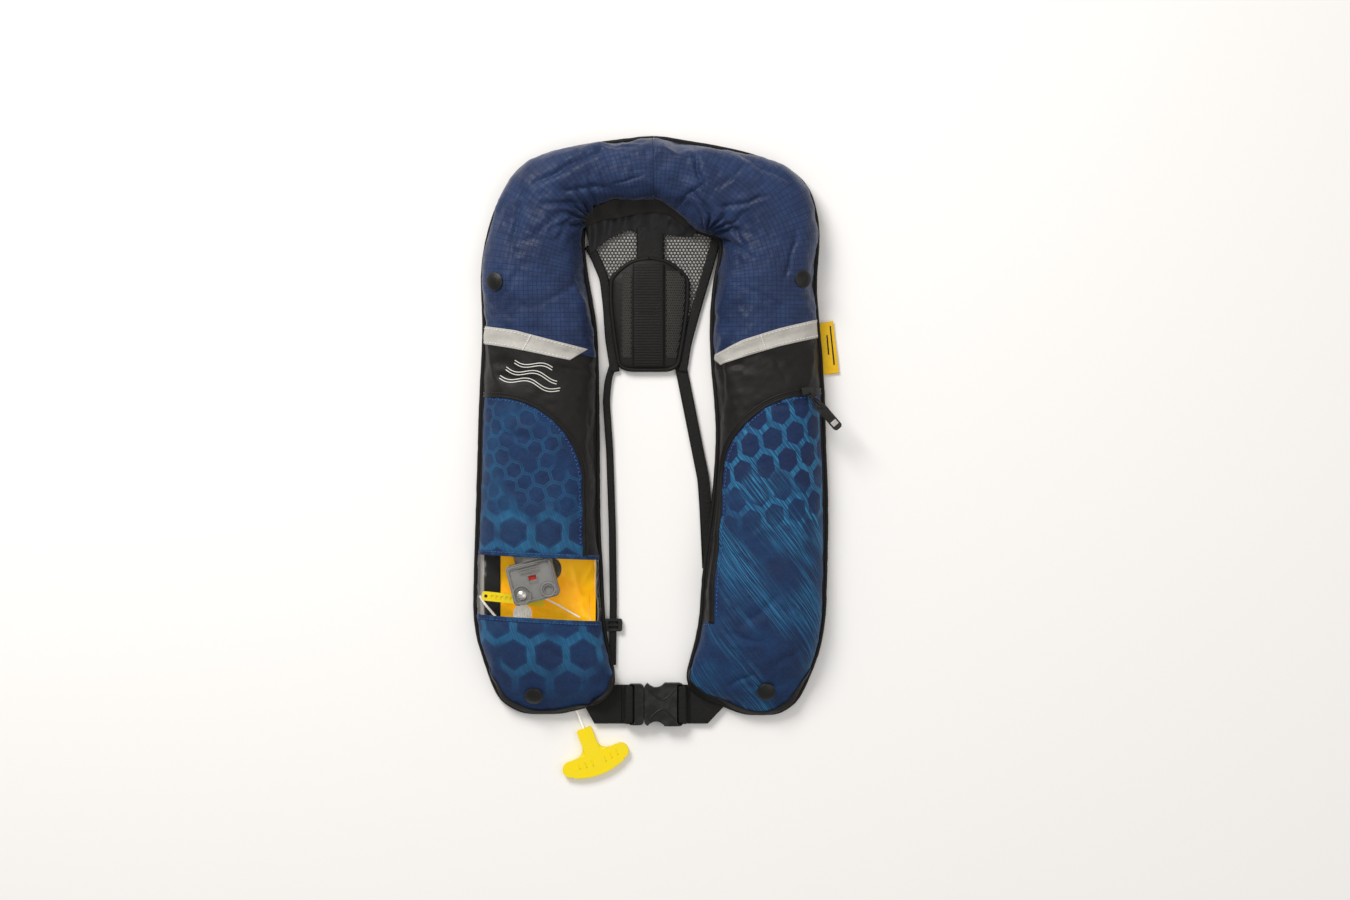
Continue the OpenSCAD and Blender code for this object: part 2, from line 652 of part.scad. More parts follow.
// A cylinder along the inflator's own +Y, centred on the gas cylinder's axis
module along_axis(v0, v1, r) {
    translate([cyl_u, v0, cyl_z]) rotate([-90, 0, 0]) cylinder(h = v1 - v0, r = r);
}
module inflator_body() {
    color(grey) inflator_frame() difference() {
        union() {
            rounded_plate(-9, -9, 35, 29.5, 4, body_z0, 35);
            intersection() {
                along_axis(29.2, 39, 16.5);
                translate([-10, 20, 5.6]) cube([60, 30, 40]);
            }
        }
        along_axis(14, 40, neck_r + run_gap);
        along_axis(32, 40, cylinder_r + 0.6);
        along_axis(-10, 15, firing_pin_r + run_gap);
        along_axis(4.6, 14.6, 4.6);
        // swing space of the lever
        translate([0, 0, lever_z0 - 0.3]) cylinder(h = lever_z1 - lever_z0 + 0.6, r = 24.5);
        translate([0, 0, body_z0 + 2]) cylinder(h = 40, r = pivot_r + run_gap);
        // recess round the pivot head
        translate([0, 0, 34]) cylinder(h = 2, r = 8);
        // indicator window and its track
        translate([10.2, 11.4, 33]) cube([7.2, 4.2, 3]);
        translate([9.6, 5, 31.4]) cube([8.4, 12, 1.8]);
        // stem of the manifold
        translate([stem_u, stem_v, body_z0 - 1]) cylinder(h = 9.4, r = 4.16);
    }
}
module manifold() {
    flange_z = back_t + 3.4;
    color([0.18, 0.18, 0.13]) inflator_frame() {
        translate([stem_u, stem_v, flange_z]) cylinder(h = body_z0 - 0.3 - flange_z, r = 12);
        translate([stem_u, stem_v, flange_z]) cylinder(h = 10.6, r = 4.1);
    }
}
module pivot_pin() {
    color(silver) inflator_frame() {
        translate([0, 0, body_z0 + 2.2]) cylinder(h = 26, r = pivot_r);
        translate([0, 0, 34.2]) cylinder(h = 1.6, r = 4.3);
        translate([0, 0, 35.6]) intersection() {
            translate([0, 0, -5]) sphere(6.5);
            cylinder(h = 2, r = 4.1);
        }
    }
}
lever_left = 38;
lever_right = 21.5;
module firing_lever() {
    color(yellow) inflator_frame() rotate([0, 0, lever_rest]) difference() {
        union() {
            rounded_plate(-lever_left, -9.3, lever_right, -0.7, 2.5, lever_z0, lever_z1);
            translate([0, 0, lever_z0]) cylinder(h = lever_z1 - lever_z0, r = 6.5);
        }
        translate([0, 0, lever_z0 - 1]) cylinder(h = 8, r = pivot_r + run_gap);
        translate([-lever_left + 4, -5, lever_z0 - 1]) cylinder(h = 8, r = 1.6);
        for (i = [0:4]) translate([-lever_left + 9 + 4.6 * i, -6.4, lever_z1 - 0.8]) cube([2, 2.8, 1]);
    }
}
pin_tail = -6.2;
module firing_pin() {
    color(silver) inflator_frame() {
        along_axis(pin_tail, 12, firing_pin_r - 1.4);
        along_axis(-2.6, 12, firing_pin_r);
        along_axis(4.8, 6.2, 4.4);
        translate([cyl_u, 12, cyl_z]) rotate([-90, 0, 0]) cylinder(h = 3.4, r1 = firing_pin_r, r2 = 0.6);
    }
}
module firing_spring() {
    turns = 4;
    per_turn = 14;
    path = [
        for (i = [0:turns * per_turn])
            let(a = 360 * i / per_turn)
            [3.85 * cos(a), 3.85 * sin(a), 7.4 * i / (turns * per_turn)]
    ];
    color(silver) inflator_frame() translate([cyl_u, 6.7, cyl_z]) rotate([-90, 0, 0]) cord(path, 0.42, 6);
}
module indicator_flag() {
    color([0.85, 0.16, 0.12]) inflator_frame() translate([9.8, 11.2, 31.6]) cube([8, 5, 1.3]);
}
module cylinder_gasket() {
    color(black) inflator_frame() difference() {
        along_axis(32.4, 34, 11.5);
        along_axis(31, 36, neck_r + 0.05);
    }
}
module gas_cylinder() {
    shoulder = 36 + cylinder_r;
    color(grey) inflator_frame() difference() {
        union() {
            along_axis(16.2, 40, neck_r);
            translate([cyl_u, shoulder, cyl_z]) sphere(cylinder_r);
            along_axis(shoulder, shoulder + cylinder_l, cylinder_r);
            translate([cyl_u, shoulder + cylinder_l, cyl_z]) sphere(cylinder_r);
        }
        // throat that the firing pin enters
        along_axis(15, 27, firing_pin_r + 0.4);
    }
}
// Where the pull cord leaves the left front, and its lean
exit_p = [-73, -514, 3.1];
pull_tilt = 21;
stem_top = -17.5;
module pull_frame() {
    translate(exit_p) rotate([0, 0, pull_tilt]) children();
}
// Cord from inside the left front to the handle, running along the pull direction
module pull_cord() {
    inside = 34;
    color("white") pull_frame() translate([0, inside, 0]) rotate([90, 0, 0])
        cylinder(h = inside - stem_top + 5, r = 0.95);
}
// T-handle: stem, and a crossbar with rounded ends and a bowed outer edge
module pull_handle() {
    bar_t = 6;
    bow_r = 62.7;
    end_r = 7.5;
    end_x = handle_w / 2 - end_r;
    stem_w = 14.8;
    bar_low = -46.2;
    color(yellow) pull_frame() translate([0, stem_top, 0]) difference() {
        translate([0, 0, -2.8]) linear_extrude(bar_t) {
            intersection() {
                translate([0, bar_low + bow_r]) circle(bow_r, $fn = 96);
                translate([-end_x, -50]) square([2 * end_x, 25.5]);
            }
            for (side = [-1, 1]) translate([side * end_x, -32]) circle(end_r);
            translate([-stem_w / 2, -30]) square([stem_w, 28]);
            translate([-stem_w / 2 + 2, -28]) square([stem_w - 4, 28]);
            for (side = [-1, 1]) translate([side * (stem_w / 2 - 2), -2]) circle(2);
        }
        rotate([90, 0, 0]) cylinder(h = 7, r = 1.05);
    }
}

// ==== inside the right front ====
oral_x = 130;
oral_z = 18;
module along_y(y0, y1, r) {
    translate([oral_x, y0, oral_z]) rotate([-90, 0, 0]) cylinder(h = y1 - y0, r = r);
}
module oral_tube() {
    color(black) difference() {
        union() {
            along_y(-390, -304, 6);
            along_y(-400, -390, 9);
        }
        along_y(-401, -303, 4.4);
        translate([oral_x, -395, oral_z - 20]) cylinder(h = 14, r = 4);
    }
}
module oral_valve() {
    color(grey) {
        along_y(-320, -305, 4.34);
        along_y(-330, -319, 2);
    }
}
module dust_cap() {
    color(yellow) difference() {
        along_y(-314, -300, 7.6);
        along_y(-315, -302, 6.06);
    }
}
module whistle() {
    color(yellow) translate([130, -432, 16]) rotate([0, 0, 90]) difference() {
        union() {
            rounded_plate(-18, -6, 14, 6, 3, -5, 5);
            translate([14, 0, -5]) cylinder(h = 10, r = 8);
        }
        translate([14, 0, -3.5]) cylinder(h = 7, r = 6.3);
        translate([-19, -4, -3]) cube([28, 8, 4.4]);
        translate([-6, -5, 1]) cube([4, 10, 6]);
    }
}

collar_back();
collar_cover_left();
collar_cover_right();
collar_bladder();
collar_piping();
neck_lining();
neck_tape();
shoulder_panel_left();
shoulder_panel_right();
reflector_left();
reflector_right();
yoke_mesh();
yoke_binding();
back_pad();
pad_webbing();
yellow_tag();
snap_studs_upper();
snap_cap_upper_left();
snap_cap_upper_right();
back_left();
back_right();
bladder_left();
bladder_right();
upper_cover_left();
inflator_window();
lower_flap_left();
front_cover_right();
piping_left();
piping_right();
zip_band_left();
zip_chain_right();
zip_slider();
zip_puller();
strap_left();
strap_right();
strap_adjuster();
belt_left();
belt_right();
buckle_socket();
buckle_plug();
buckle_arm_upper();
buckle_arm_lower();
snap_studs_lower();
snap_cap_lower_left();
snap_cap_lower_right();
inflator_body();
manifold();
pivot_pin();
firing_lever();
firing_pin();
firing_spring();
indicator_flag();
cylinder_gasket();
gas_cylinder();
pull_cord();
pull_handle();
oral_tube();
oral_valve();
dust_cap();
whistle();
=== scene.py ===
"""Looks of an inflatable life jacket lying flat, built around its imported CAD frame.

Helper geometry is worked out in millimetres and turned into metres when a mesh is made.
"""

import math

import bmesh
import bpy
import numpy as np
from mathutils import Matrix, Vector
from mathutils.bvhtree import BVHTree


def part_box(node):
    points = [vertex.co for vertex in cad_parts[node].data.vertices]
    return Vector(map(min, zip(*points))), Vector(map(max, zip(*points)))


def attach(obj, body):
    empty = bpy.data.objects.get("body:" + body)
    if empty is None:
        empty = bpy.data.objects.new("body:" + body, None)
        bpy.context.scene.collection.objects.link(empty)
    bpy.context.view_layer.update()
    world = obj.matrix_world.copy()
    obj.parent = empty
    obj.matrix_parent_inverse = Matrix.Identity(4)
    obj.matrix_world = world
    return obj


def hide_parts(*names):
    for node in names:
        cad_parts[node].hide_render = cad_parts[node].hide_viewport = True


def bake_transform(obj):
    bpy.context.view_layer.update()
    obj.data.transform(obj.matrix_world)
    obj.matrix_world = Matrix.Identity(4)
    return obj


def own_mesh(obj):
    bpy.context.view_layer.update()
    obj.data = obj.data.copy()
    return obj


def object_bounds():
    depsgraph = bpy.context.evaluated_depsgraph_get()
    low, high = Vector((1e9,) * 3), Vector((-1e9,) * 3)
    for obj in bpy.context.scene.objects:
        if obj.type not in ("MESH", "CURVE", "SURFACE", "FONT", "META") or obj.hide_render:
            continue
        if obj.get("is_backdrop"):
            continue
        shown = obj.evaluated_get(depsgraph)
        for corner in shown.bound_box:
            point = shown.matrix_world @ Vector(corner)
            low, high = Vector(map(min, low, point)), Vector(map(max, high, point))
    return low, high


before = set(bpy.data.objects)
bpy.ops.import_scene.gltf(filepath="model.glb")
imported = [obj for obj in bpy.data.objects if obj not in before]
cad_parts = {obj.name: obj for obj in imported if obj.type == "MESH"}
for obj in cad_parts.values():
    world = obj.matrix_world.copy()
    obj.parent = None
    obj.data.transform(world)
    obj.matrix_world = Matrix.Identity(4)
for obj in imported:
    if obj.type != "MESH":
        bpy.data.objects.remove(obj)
cad_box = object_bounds()
MM = 0.001
scene = bpy.context.scene


# ==== reading the frame ====
def low(node):
    return np.array(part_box(node)[0]) / MM


def high(node):
    return np.array(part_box(node)[1]) / MM


def tree_of(*objects):
    """A ray-cast tree over several mesh objects, in metres."""
    points, faces = [], []
    for o in objects:
        base = len(points)
        points += [o.matrix_world @ v.co for v in o.data.vertices]
        faces += [[base + i for i in p.vertices] for p in o.data.polygons]
    return BVHTree.FromPolygons(points, faces)


def cad_tree(*nodes):
    return tree_of(*[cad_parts[n] for n in nodes])


def height_at(tree, x, y):
    hit = tree.ray_cast(Vector((x * MM, y * MM, 0.3)), Vector((0, 0, -1)))
    return None if hit[0] is None else hit[0].z / MM


RIM = low("upper_cover_left")[2]
PUFF = 2.6            # squareness of the puffed cross-section
PIPING_R = 2.3
PIPING_Z = 4.7
EDGE_INSET = 2.6      # the cover stands this far inside the piping's outer line
CURL = 5.0            # how far the cover turns under its rim


def signed_pow(v, e):
    return np.sign(v) * np.abs(v) ** e


class Dome:
    """A puffed half of the jacket. Sections are cut from the CAD covers along planes t;
    a section is its inner and outer edge, as distances along the plane, and its crown height."""

    def __init__(self, tree, plane, ts, inside):
        self.plane = plane
        rows = []
        for t in ts:
            cx, cy, dx, dy = plane(t)
            centre = height_at(tree, cx + dx * inside, cy + dy * inside)
            if centre is None:
                continue
            ends = []
            for far in (20.0, 260.0):
                hit, miss = inside, far
                for _ in range(13):
                    mid = (hit + miss) / 2
                    if height_at(tree, cx + dx * mid, cy + dy * mid) is None:
                        miss = mid
                    else:
                        hit = mid
                ends.append(hit)
            inner, outer = ends
            crown = max(height_at(tree, cx + dx * r, cy + dy * r) or 0
                        for r in (inner + (outer - inner) * k for k in (0.45, 0.5, 0.55)))
            rows.append((t, inner, outer, crown - RIM))
        table = np.array(rows)
        for _ in range(2):
            table[1:-1, 1:] = (table[:-2, 1:] + 2 * table[1:-1, 1:] + table[2:, 1:]) / 4
        self.table = table

    def section(self, t):
        return [np.interp(t, self.table[:, 0], self.table[:, k]) for k in (1, 2, 3)]

    def point(self, t, s, lift=0.0, inset=EDGE_INSET):
        """Point at plane t, s from 0 (outer edge) to 1 (inner edge); beyond that the cover curls under."""
        t, s = np.broadcast_arrays(np.asarray(t, float), np.asarray(s, float))
        inner, outer, crown = self.section(t)
        mid, half = (inner + outer) / 2, (outer - inner) / 2
        room = np.minimum(inset, half * 0.25)
        across = signed_pow(np.cos(np.pi * s), 2 / PUFF)
        up = signed_pow(np.sin(np.pi * s), 2 / PUFF)
        r = mid + (half - room + lift) * across
        cx, cy, dx, dy = self.plane(t)
        z = RIM + np.where(up > 0, crown + lift, CURL) * up
        return np.stack([cx + dx * r, cy + dy * r, z], -1)

    def normal(self, t, s):
        e = 0.01
        along = self.point(t + 60 * e, s) - self.point(t - 60 * e, s)
        over = self.point(t, s + e) - self.point(t, s - e)
        n = unit(np.cross(along, over))
        flip = np.where(n[..., 2:] < 0, -1, 1)
        return n * flip

    def mark(self, x, y):
        """(t, s) of a plan point."""
        t, r = self.locate(np.asarray(x, float), np.asarray(y, float))
        inner, outer, _ = self.section(t)
        mid, half = (inner + outer) / 2, (outer - inner) / 2
        across = np.clip((r - mid) / (half - EDGE_INSET), -0.995, 0.995)
        return t, np.arccos(signed_pow(across, PUFF / 2)) / np.pi


ARC_Y = -110.0        # below this the collar's planes are level; above they turn about (0, ARC_Y)


def front_plane(side):
    def plane(t):
        t = np.asarray(t, float)
        one = np.ones_like(t)
        return 0 * t, -t, side * one, 0 * t
    return plane


def collar_plane(side):
    def plane(t):
        t = np.asarray(t, float)
        a = np.radians(90 - np.minimum(t, 90))
        straight = np.maximum(t - 90, 0)
        return 0 * t, ARC_Y - straight, side * np.cos(a), np.sin(a)
    return plane


class Front(Dome):
    def locate(self, x, y):
        return -y, np.abs(x)


class Collar(Dome):
    def locate(self, x, y):
        turned = np.degrees(np.arctan2(np.abs(x), np.maximum(y - ARC_Y, 1e-6)))
        above = y > ARC_Y
        t = np.where(above, turned, 90 + ARC_Y - y)
        return t, np.where(above, np.hypot(x, y - ARC_Y), np.abs(x))


SIDES = {"left": -1, "right": 1}
END_DROP = (0.9, 0.6, 0.15)             # how the crown of a front falls over its last sections
front_bottom = {"left": -low("lower_flap_left")[1], "right": -low("front_cover_right")[1]}
front_nodes = {"left": ["upper_cover_left", "inflator_window", "lower_flap_left"],
               "right": ["front_cover_right"]}
front, collar = {}, {}
for name, side in SIDES.items():
    shoulder = "shoulder_panel_" + name
    end = front_bottom[name]
    ts = list(np.arange(150, end - 24, 4.0)) + list(np.arange(end - 24, end - 0.2, 1.5)) + [end - 0.15]
    front[name] = Front(cad_tree(shoulder, *front_nodes[name]), front_plane(side), ts, 102.0)
    ts = list(np.arange(1.0, 90, 3.0)) + list(np.arange(90, 164, 4.0))
    collar[name] = Collar(cad_tree("collar_cover_" + name, shoulder), collar_plane(side), ts, 112.0)
    front[name].table[-len(END_DROP):, 3] *= END_DROP
# the two collar halves meet in the same section at the centre seam
centre_row = (collar["left"].table[0, 1:] + collar["right"].table[0, 1:]) / 2
for name in SIDES:
    for k in range(3):
        share = 1 - k / 3
        collar[name].table[k, 1:] += (centre_row - collar[name].table[k, 1:]) * share


# ==== meshes ====
def new_piece(name, points, faces, uv=None):
    """A mesh object from points in mm; uv is one (u, v) in mm a point, kept in the map 'cloth'."""
    mesh = bpy.data.meshes.new(name)
    mesh.from_pydata((np.asarray(points, float) * MM).tolist(), [], [list(map(int, f)) for f in faces])
    if uv is not None:
        layer = mesh.uv_layers.new(name="cloth")
        loops = np.zeros(len(mesh.loops), np.int32)
        mesh.loops.foreach_get("vertex_index", loops)
        layer.data.foreach_set("uv", np.asarray(uv, np.float32)[loops].ravel())
    mesh.polygons.foreach_set("use_smooth", [True] * len(mesh.polygons))
    mesh.update()
    piece = bpy.data.objects.new(name, mesh)
    scene.collection.objects.link(piece)
    return piece


def run_along(path):
    """Distance from the start of a path to each of its points."""
    return np.concatenate([[0], np.cumsum(np.linalg.norm(np.diff(path, axis=0), axis=1))])


def unit(vectors):
    return vectors / (np.linalg.norm(vectors, axis=-1, keepdims=True) + 1e-12)


def flat_up(count):
    """The same upward normal for every point of a path."""
    return np.tile([0, 0, 1.0], (count, 1))


def raised(plan, z):
    """Plan points put at one height, or each at its own."""
    return np.column_stack([plan, np.broadcast_to(z, len(plan))])


def turned_plan(x, y, angle):
    """Plan coordinates turned about the origin."""
    return x * math.cos(angle) - y * math.sin(angle), x * math.sin(angle) + y * math.cos(angle)


def beside(path):
    """Unit vectors across a plan path, to its left."""
    along = np.gradient(path, axis=0)
    return unit(np.stack([-along[:, 1], along[:, 0]], 1))


def grid_faces(rows, cols, wrap=False):
    i, j = np.meshgrid(np.arange(rows - 1), np.arange(cols if wrap else cols - 1), indexing="ij")
    a = (i * cols + j).ravel()
    b = (i * cols + (j + 1) % cols).ravel()
    return np.stack([a, b, b + cols, a + cols], 1)


def tube_faces(rows, cols):
    """Faces of a closed tube of rows rings with cols points each, with its two ends."""
    return [list(f) for f in grid_faces(rows, cols, wrap=True)] \
        + [list(range(cols))[::-1], [(rows - 1) * cols + k for k in range(cols)]]


def outward(piece):
    """Turns a closed piece's faces outwards."""
    mesh = bmesh.new()
    mesh.from_mesh(piece.data)
    bmesh.ops.recalc_face_normals(mesh, faces=mesh.faces)
    mesh.to_mesh(piece.data)
    mesh.free()
    return piece


def face_up(piece):
    """Turns a sheet's faces upwards."""
    normals = np.zeros(len(piece.data.polygons) * 3)
    piece.data.polygons.foreach_get("normal", normals)
    if normals.reshape(-1, 3)[:, 2].sum() < 0:
        piece.data.flip_normals()
    return piece


def sheet(name, points, uv):
    rows, cols = points.shape[:2]
    piece = new_piece(name, points.reshape(-1, 3), grid_faces(rows, cols), uv.reshape(-1, 2))
    return face_up(piece)


def joined(name, pieces, merge=0.0):
    """One piece out of several; points closer than merge (mm) become one."""
    whole = bmesh.new()
    for p in pieces:
        whole.from_mesh(p.data)
        bpy.data.objects.remove(p)
    if merge:
        bmesh.ops.remove_doubles(whole, verts=whole.verts, dist=merge * MM)
    mesh = bpy.data.meshes.new(name)
    whole.to_mesh(mesh)
    whole.free()
    mesh.polygons.foreach_set("use_smooth", [True] * len(mesh.polygons))
    piece = bpy.data.objects.new(name, mesh)
    scene.collection.objects.link(piece)
    return piece


def applied(piece):
    """Bakes the modifiers into the mesh."""
    graph = bpy.context.evaluated_depsgraph_get()
    graph.update()
    mesh = bpy.data.meshes.new_from_object(piece.evaluated_get(graph))
    piece.modifiers.clear()
    piece.data = mesh
    return piece


def subdivided(piece, levels):
    m = piece.modifiers.new("subdivision", "SUBSURF")
    m.levels = m.render_levels = levels
    m.boundary_smooth = "PRESERVE_CORNERS"
    return applied(piece)


def thickened(piece, t, offset=-1.0):
    m = piece.modifiers.new("thickness", "SOLIDIFY")
    m.thickness = t * MM
    m.offset = offset
    return applied(piece)


def coordinates(piece):
    """Vertices of a piece, or of an evaluated copy of it, in mm."""
    co = np.zeros(len(piece.data.vertices) * 3)
    piece.data.vertices.foreach_get("co", co)
    return co.reshape(-1, 3) / MM


def set_coordinates(piece, co):
    piece.data.vertices.foreach_set("co", (co * MM).ravel())
    piece.data.update()


def vertex_normals(piece):
    n = np.zeros(len(piece.data.vertices) * 3)
    piece.data.vertex_normals.foreach_get("vector", n)
    return n.reshape(-1, 3)


def tube(name, path, radius, sides=10, flat=1.0):
    """A round or flattened tube along a path in mm; radius may vary along it."""
    path = np.asarray(path, float)
    n = len(path)
    tangent = unit(np.gradient(path, axis=0))
    side = np.cross(np.array([0, 0, 1.0]), tangent)
    weak = np.linalg.norm(side, axis=1) < 0.05
    side[weak] = np.array([1.0, 0, 0])
    side = unit(side)
    up = np.cross(tangent, side)
    radius = np.broadcast_to(radius, n)
    a = np.linspace(0, 2 * np.pi, sides, endpoint=False)
    ring = np.cos(a)[None, :, None] * side[:, None] + flat * np.sin(a)[None, :, None] * up[:, None]
    points = path[:, None] + ring * radius[:, None, None]
    run = run_along(path)
    uv = np.stack(np.broadcast_arrays(a[None, :] * radius[:, None], run[:, None]), -1)
    return outward(new_piece(name, points.reshape(-1, 3), tube_faces(n, sides), uv.reshape(-1, 2)))


def resampled(path, step):
    """The same path with points about step mm apart."""
    path = np.asarray(path, float)
    run = run_along(path)
    n = max(int(run[-1] / step), 2)
    at = np.linspace(0, run[-1], n + 1)
    return np.stack([np.interp(at, run, path[:, k]) for k in range(path.shape[1])], 1)


def smoothed(path, times=2):
    path = np.array(path, float)
    for _ in range(times):
        path[1:-1] = (path[:-2] + 2 * path[1:-1] + path[2:]) / 4
    return path


def ribbon(name, path, normals, width, thick, ribs=0.0, rib_step=2.4, cross=9):
    """Webbing or tape along a path: rounded edges, and ribs running across it if asked."""
    path = np.asarray(path, float)
    tangent = unit(np.gradient(path, axis=0))
    normals = unit(np.asarray(normals, float))
    side = unit(np.cross(tangent, normals))
    run = run_along(path)
    across = np.linspace(-1, 1, cross)
    body = (1 - np.abs(across) ** 6 * 0.75)[None, :] * thick / 2
    swell = ribs * (0.5 + 0.5 * np.cos(2 * np.pi * run / rib_step))[:, None]
    top = path[:, None] + side[:, None] * (across * width / 2)[None, :, None] \
        + normals[:, None] * (body + swell * (np.abs(across) < 0.99))[..., None]
    bottom = path[:, None] + side[:, None] * (across * width / 2)[None, ::-1, None] \
        - normals[:, None] * body[:, ::-1, None]
    points = np.concatenate([top, bottom], 1)
    u = np.concatenate([across * width / 2, across[::-1] * width / 2])
    uv = np.stack(np.broadcast_arrays(u[None, :], run[:, None]), -1)
    n, m = points.shape[:2]
    return outward(new_piece(name, points.reshape(-1, 3), tube_faces(n, m), uv.reshape(-1, 2)))


def stitches(name, path, normals, length=2.6, gap=1.4, radius=0.34, sway=0.0):
    """Thread dashes along a path, a little raised; sway makes a zigzag."""
    path, normals = np.asarray(path, float), np.asarray(normals, float)
    run = run_along(path)
    count = max(int(run[-1] / (length + gap)), 1)
    starts = (np.arange(count) + 0.2) * (length + gap)

    def at(values, where):
        return np.stack([np.interp(where, run, values[:, k]) for k in range(3)], 1)
    a, b = at(path, starts), at(path, starts + length)
    up = unit(at(normals, starts + length / 2))
    side = unit(np.cross(b - a, up))
    swing = sway * np.where(np.arange(count) % 2, 1, -1)[:, None] * side
    a, b = a - swing, b + swing
    rings, sides = [(0.0, 0.25), (0.16, 0.9), (0.5, 1.0), (0.84, 0.9), (1.0, 0.25)], 6
    turn = np.linspace(0, 2 * np.pi, sides, endpoint=False)
    points = []
    for share, fat in rings:
        centre = a + (b - a) * share + up * radius * 0.5 * (1 - (2 * share - 1) ** 2)
        for angle in turn:
            points.append(centre + radius * fat * (math.cos(angle) * side + math.sin(angle) * up))
    points = np.stack(points, 1)
    m = points.shape[1]
    faces = [[k * m + i for i in f] for k in range(count) for f in tube_faces(len(rings), sides)]
    return new_piece(name, points.reshape(-1, 3), faces)


# ==== seeded ripples ====
class Ripple:
    """Smooth seeded noise over the plan, from -1 to 1."""

    def __init__(self, seed, scale):
        self.cells = np.random.RandomState(seed).rand(96, 96) * 2 - 1
        self.scale = scale

    def __call__(self, x, y):
        u, v = np.asarray(x) / self.scale + 40.3, np.asarray(y) / self.scale + 60.7
        i, j = np.floor(u).astype(int), np.floor(v).astype(int)
        f, g = u - i, v - j
        f, g = f * f * (3 - 2 * f), g * g * (3 - 2 * g)
        c = lambda a, b: self.cells[(i + a) % 96, (j + b) % 96]
        return (c(0, 0) * (1 - f) + c(1, 0) * f) * (1 - g) + (c(0, 1) * (1 - f) + c(1, 1) * f) * g


broad, middling, fine = Ripple(3, 34.0), Ripple(5, 13.0), Ripple(8, 5.5)


def crease(x, y, start, end, depth, width):
    """A fold line from start to end: a sharp valley with a soft shoulder on each side."""
    a, b = np.array(start, float), np.array(end, float)
    d = b - a
    px, py = x - a[0], y - a[1]
    k = np.clip((px * d[0] + py * d[1]) / (d @ d), 0, 1)
    off = np.hypot(px - k * d[0], py - k * d[1])
    fade = np.sin(np.pi * np.clip(0.12 + 0.76 * k, 0, 1))
    return depth * fade * (0.45 * np.exp(-(off / (2.4 * width)) ** 2) - np.exp(-(off / width) ** 1.5))


def gathers(x, y, corner, reach, depth, folds, first, last):
    """Folds that radiate from a corner, between the directions first and last (degrees)."""
    dx, dy = x - corner[0], y - corner[1]
    r = np.hypot(dx, dy)
    a = np.degrees(np.arctan2(dy, dx))
    a = np.where(a < first - 60, a + 360, a)
    inside = np.clip((a - first) / 14, 0, 1) * np.clip((last - a) / 14, 0, 1)
    bend = 16 * middling(x, y) + 9 * broad(y, x)
    wave = np.sin(np.radians((a + bend - first) * 180 * folds / (last - first)))
    envelope = (r / 9) / (1 + (r / 9) ** 2) * 2 * np.exp(-(r / reach) ** 2)
    return depth * inside * envelope * (wave - 0.35 * wave ** 2)


# Fold lines of the covers, as [start, end, depth, width]
COLLAR_CREASES = [
    [(-112, -16), (-49, 15), 3.2, 4.0], [(-122, -24), (-134, -84), 2.2, 5.0],
    [(-90, -22), (-45, -20), 2.4, 3.6], [(-104, -36), (-70, -34), 2.6, 3.4],
    [(-96, -62), (-74, -44), 2.2, 3.2], [(-120, -70), (-86, -46), 1.6, 4.5],
    [(-47, 16), (-8, 24), 1.6, 6.0], [(-36, -16), (-12, -10), 1.8, 3.0],
    [(-146, -126), (-128, -98), 1.8, 4.0], [(-104, -128), (-72, -112), 1.3, 4.5],
    [(38, 19), (46, -24), 2.8, 4.0], [(22, -34), (50, -12), 2.4, 3.2],
    [(60, -38), (112, -28), 2.6, 3.6], [(64, -46), (86, -74), 2.8, 3.4],
    [(52, -44), (34, -22), 2.2, 3.0], [(58, -20), (84, -2), 1.8, 3.8],
    [(134, -58), (122, -108), 2.2, 4.2], [(92, -84), (70, -70), 1.8, 3.4],
    [(76, 14), (126, -12), 1.8, 5.0], [(122, -132), (88, -112), 1.2, 4.5],
]
NECK_CORNERS = [
    [(-60, -47), 40, 3.2, 11, 60, 235], [(50, -62), 42, 3.2, 11, -60, 120],
]
FRONT_CREASES = [
    [(118, -402), (82, -432), 2.0, 5.0], [(96, -474), (66, -490), 2.2, 3.6],
    [(66, -224), (62, -180), 1.8, 3.4], [(72, -388), (88, -398), 1.4, 3.2],
    [(150, -222), (96, -226), 1.5, 4.0], [(-60, -396), (-54, -440), 1.4, 3.4],
    [(-152, -246), (-104, -262), 1.0, 6.0], [(-112, -446), (-74, -470), 1.2, 6.0],
    [(-150, -320), (-100, -336), 1.0, 6.0], [(140, -452), (112, -470), 1.2, 5.0],
    [(70, -440), (104, -446), 1.5, 3.8], [(112, -176), (124, -200), 1.3, 3.6],
    [(-60, -230), (-58, -290), 1.2, 3.0], [(56, -330), (50, -400), 1.8, 3.2],
]


def sharpened(creases, deeper, narrower):
    return [[start, end, depth * deeper, width * narrower] for start, end, depth, width in creases]


def wrinkled(piece, creases, corners=(), swell=0.7, grain=0.18):
    """Moves the final surface along its normals by creases, gathers and soft ripples."""
    co, n = coordinates(piece), vertex_normals(piece)
    x, y = co[:, 0], co[:, 1]
    d = swell * broad(x, y) + 0.4 * swell * middling(x, y) + grain * fine(x, y)
    for c in creases:
        d = d + crease(x + 2.2 * middling(y, x), y + 2.2 * middling(x, y), *c)
    for c in corners:
        d = d + gathers(x, y, *c)
    d *= np.clip((co[:, 2] - RIM) / 6, 0, 1)
    set_coordinates(piece, co + n * d[:, None])
    return piece


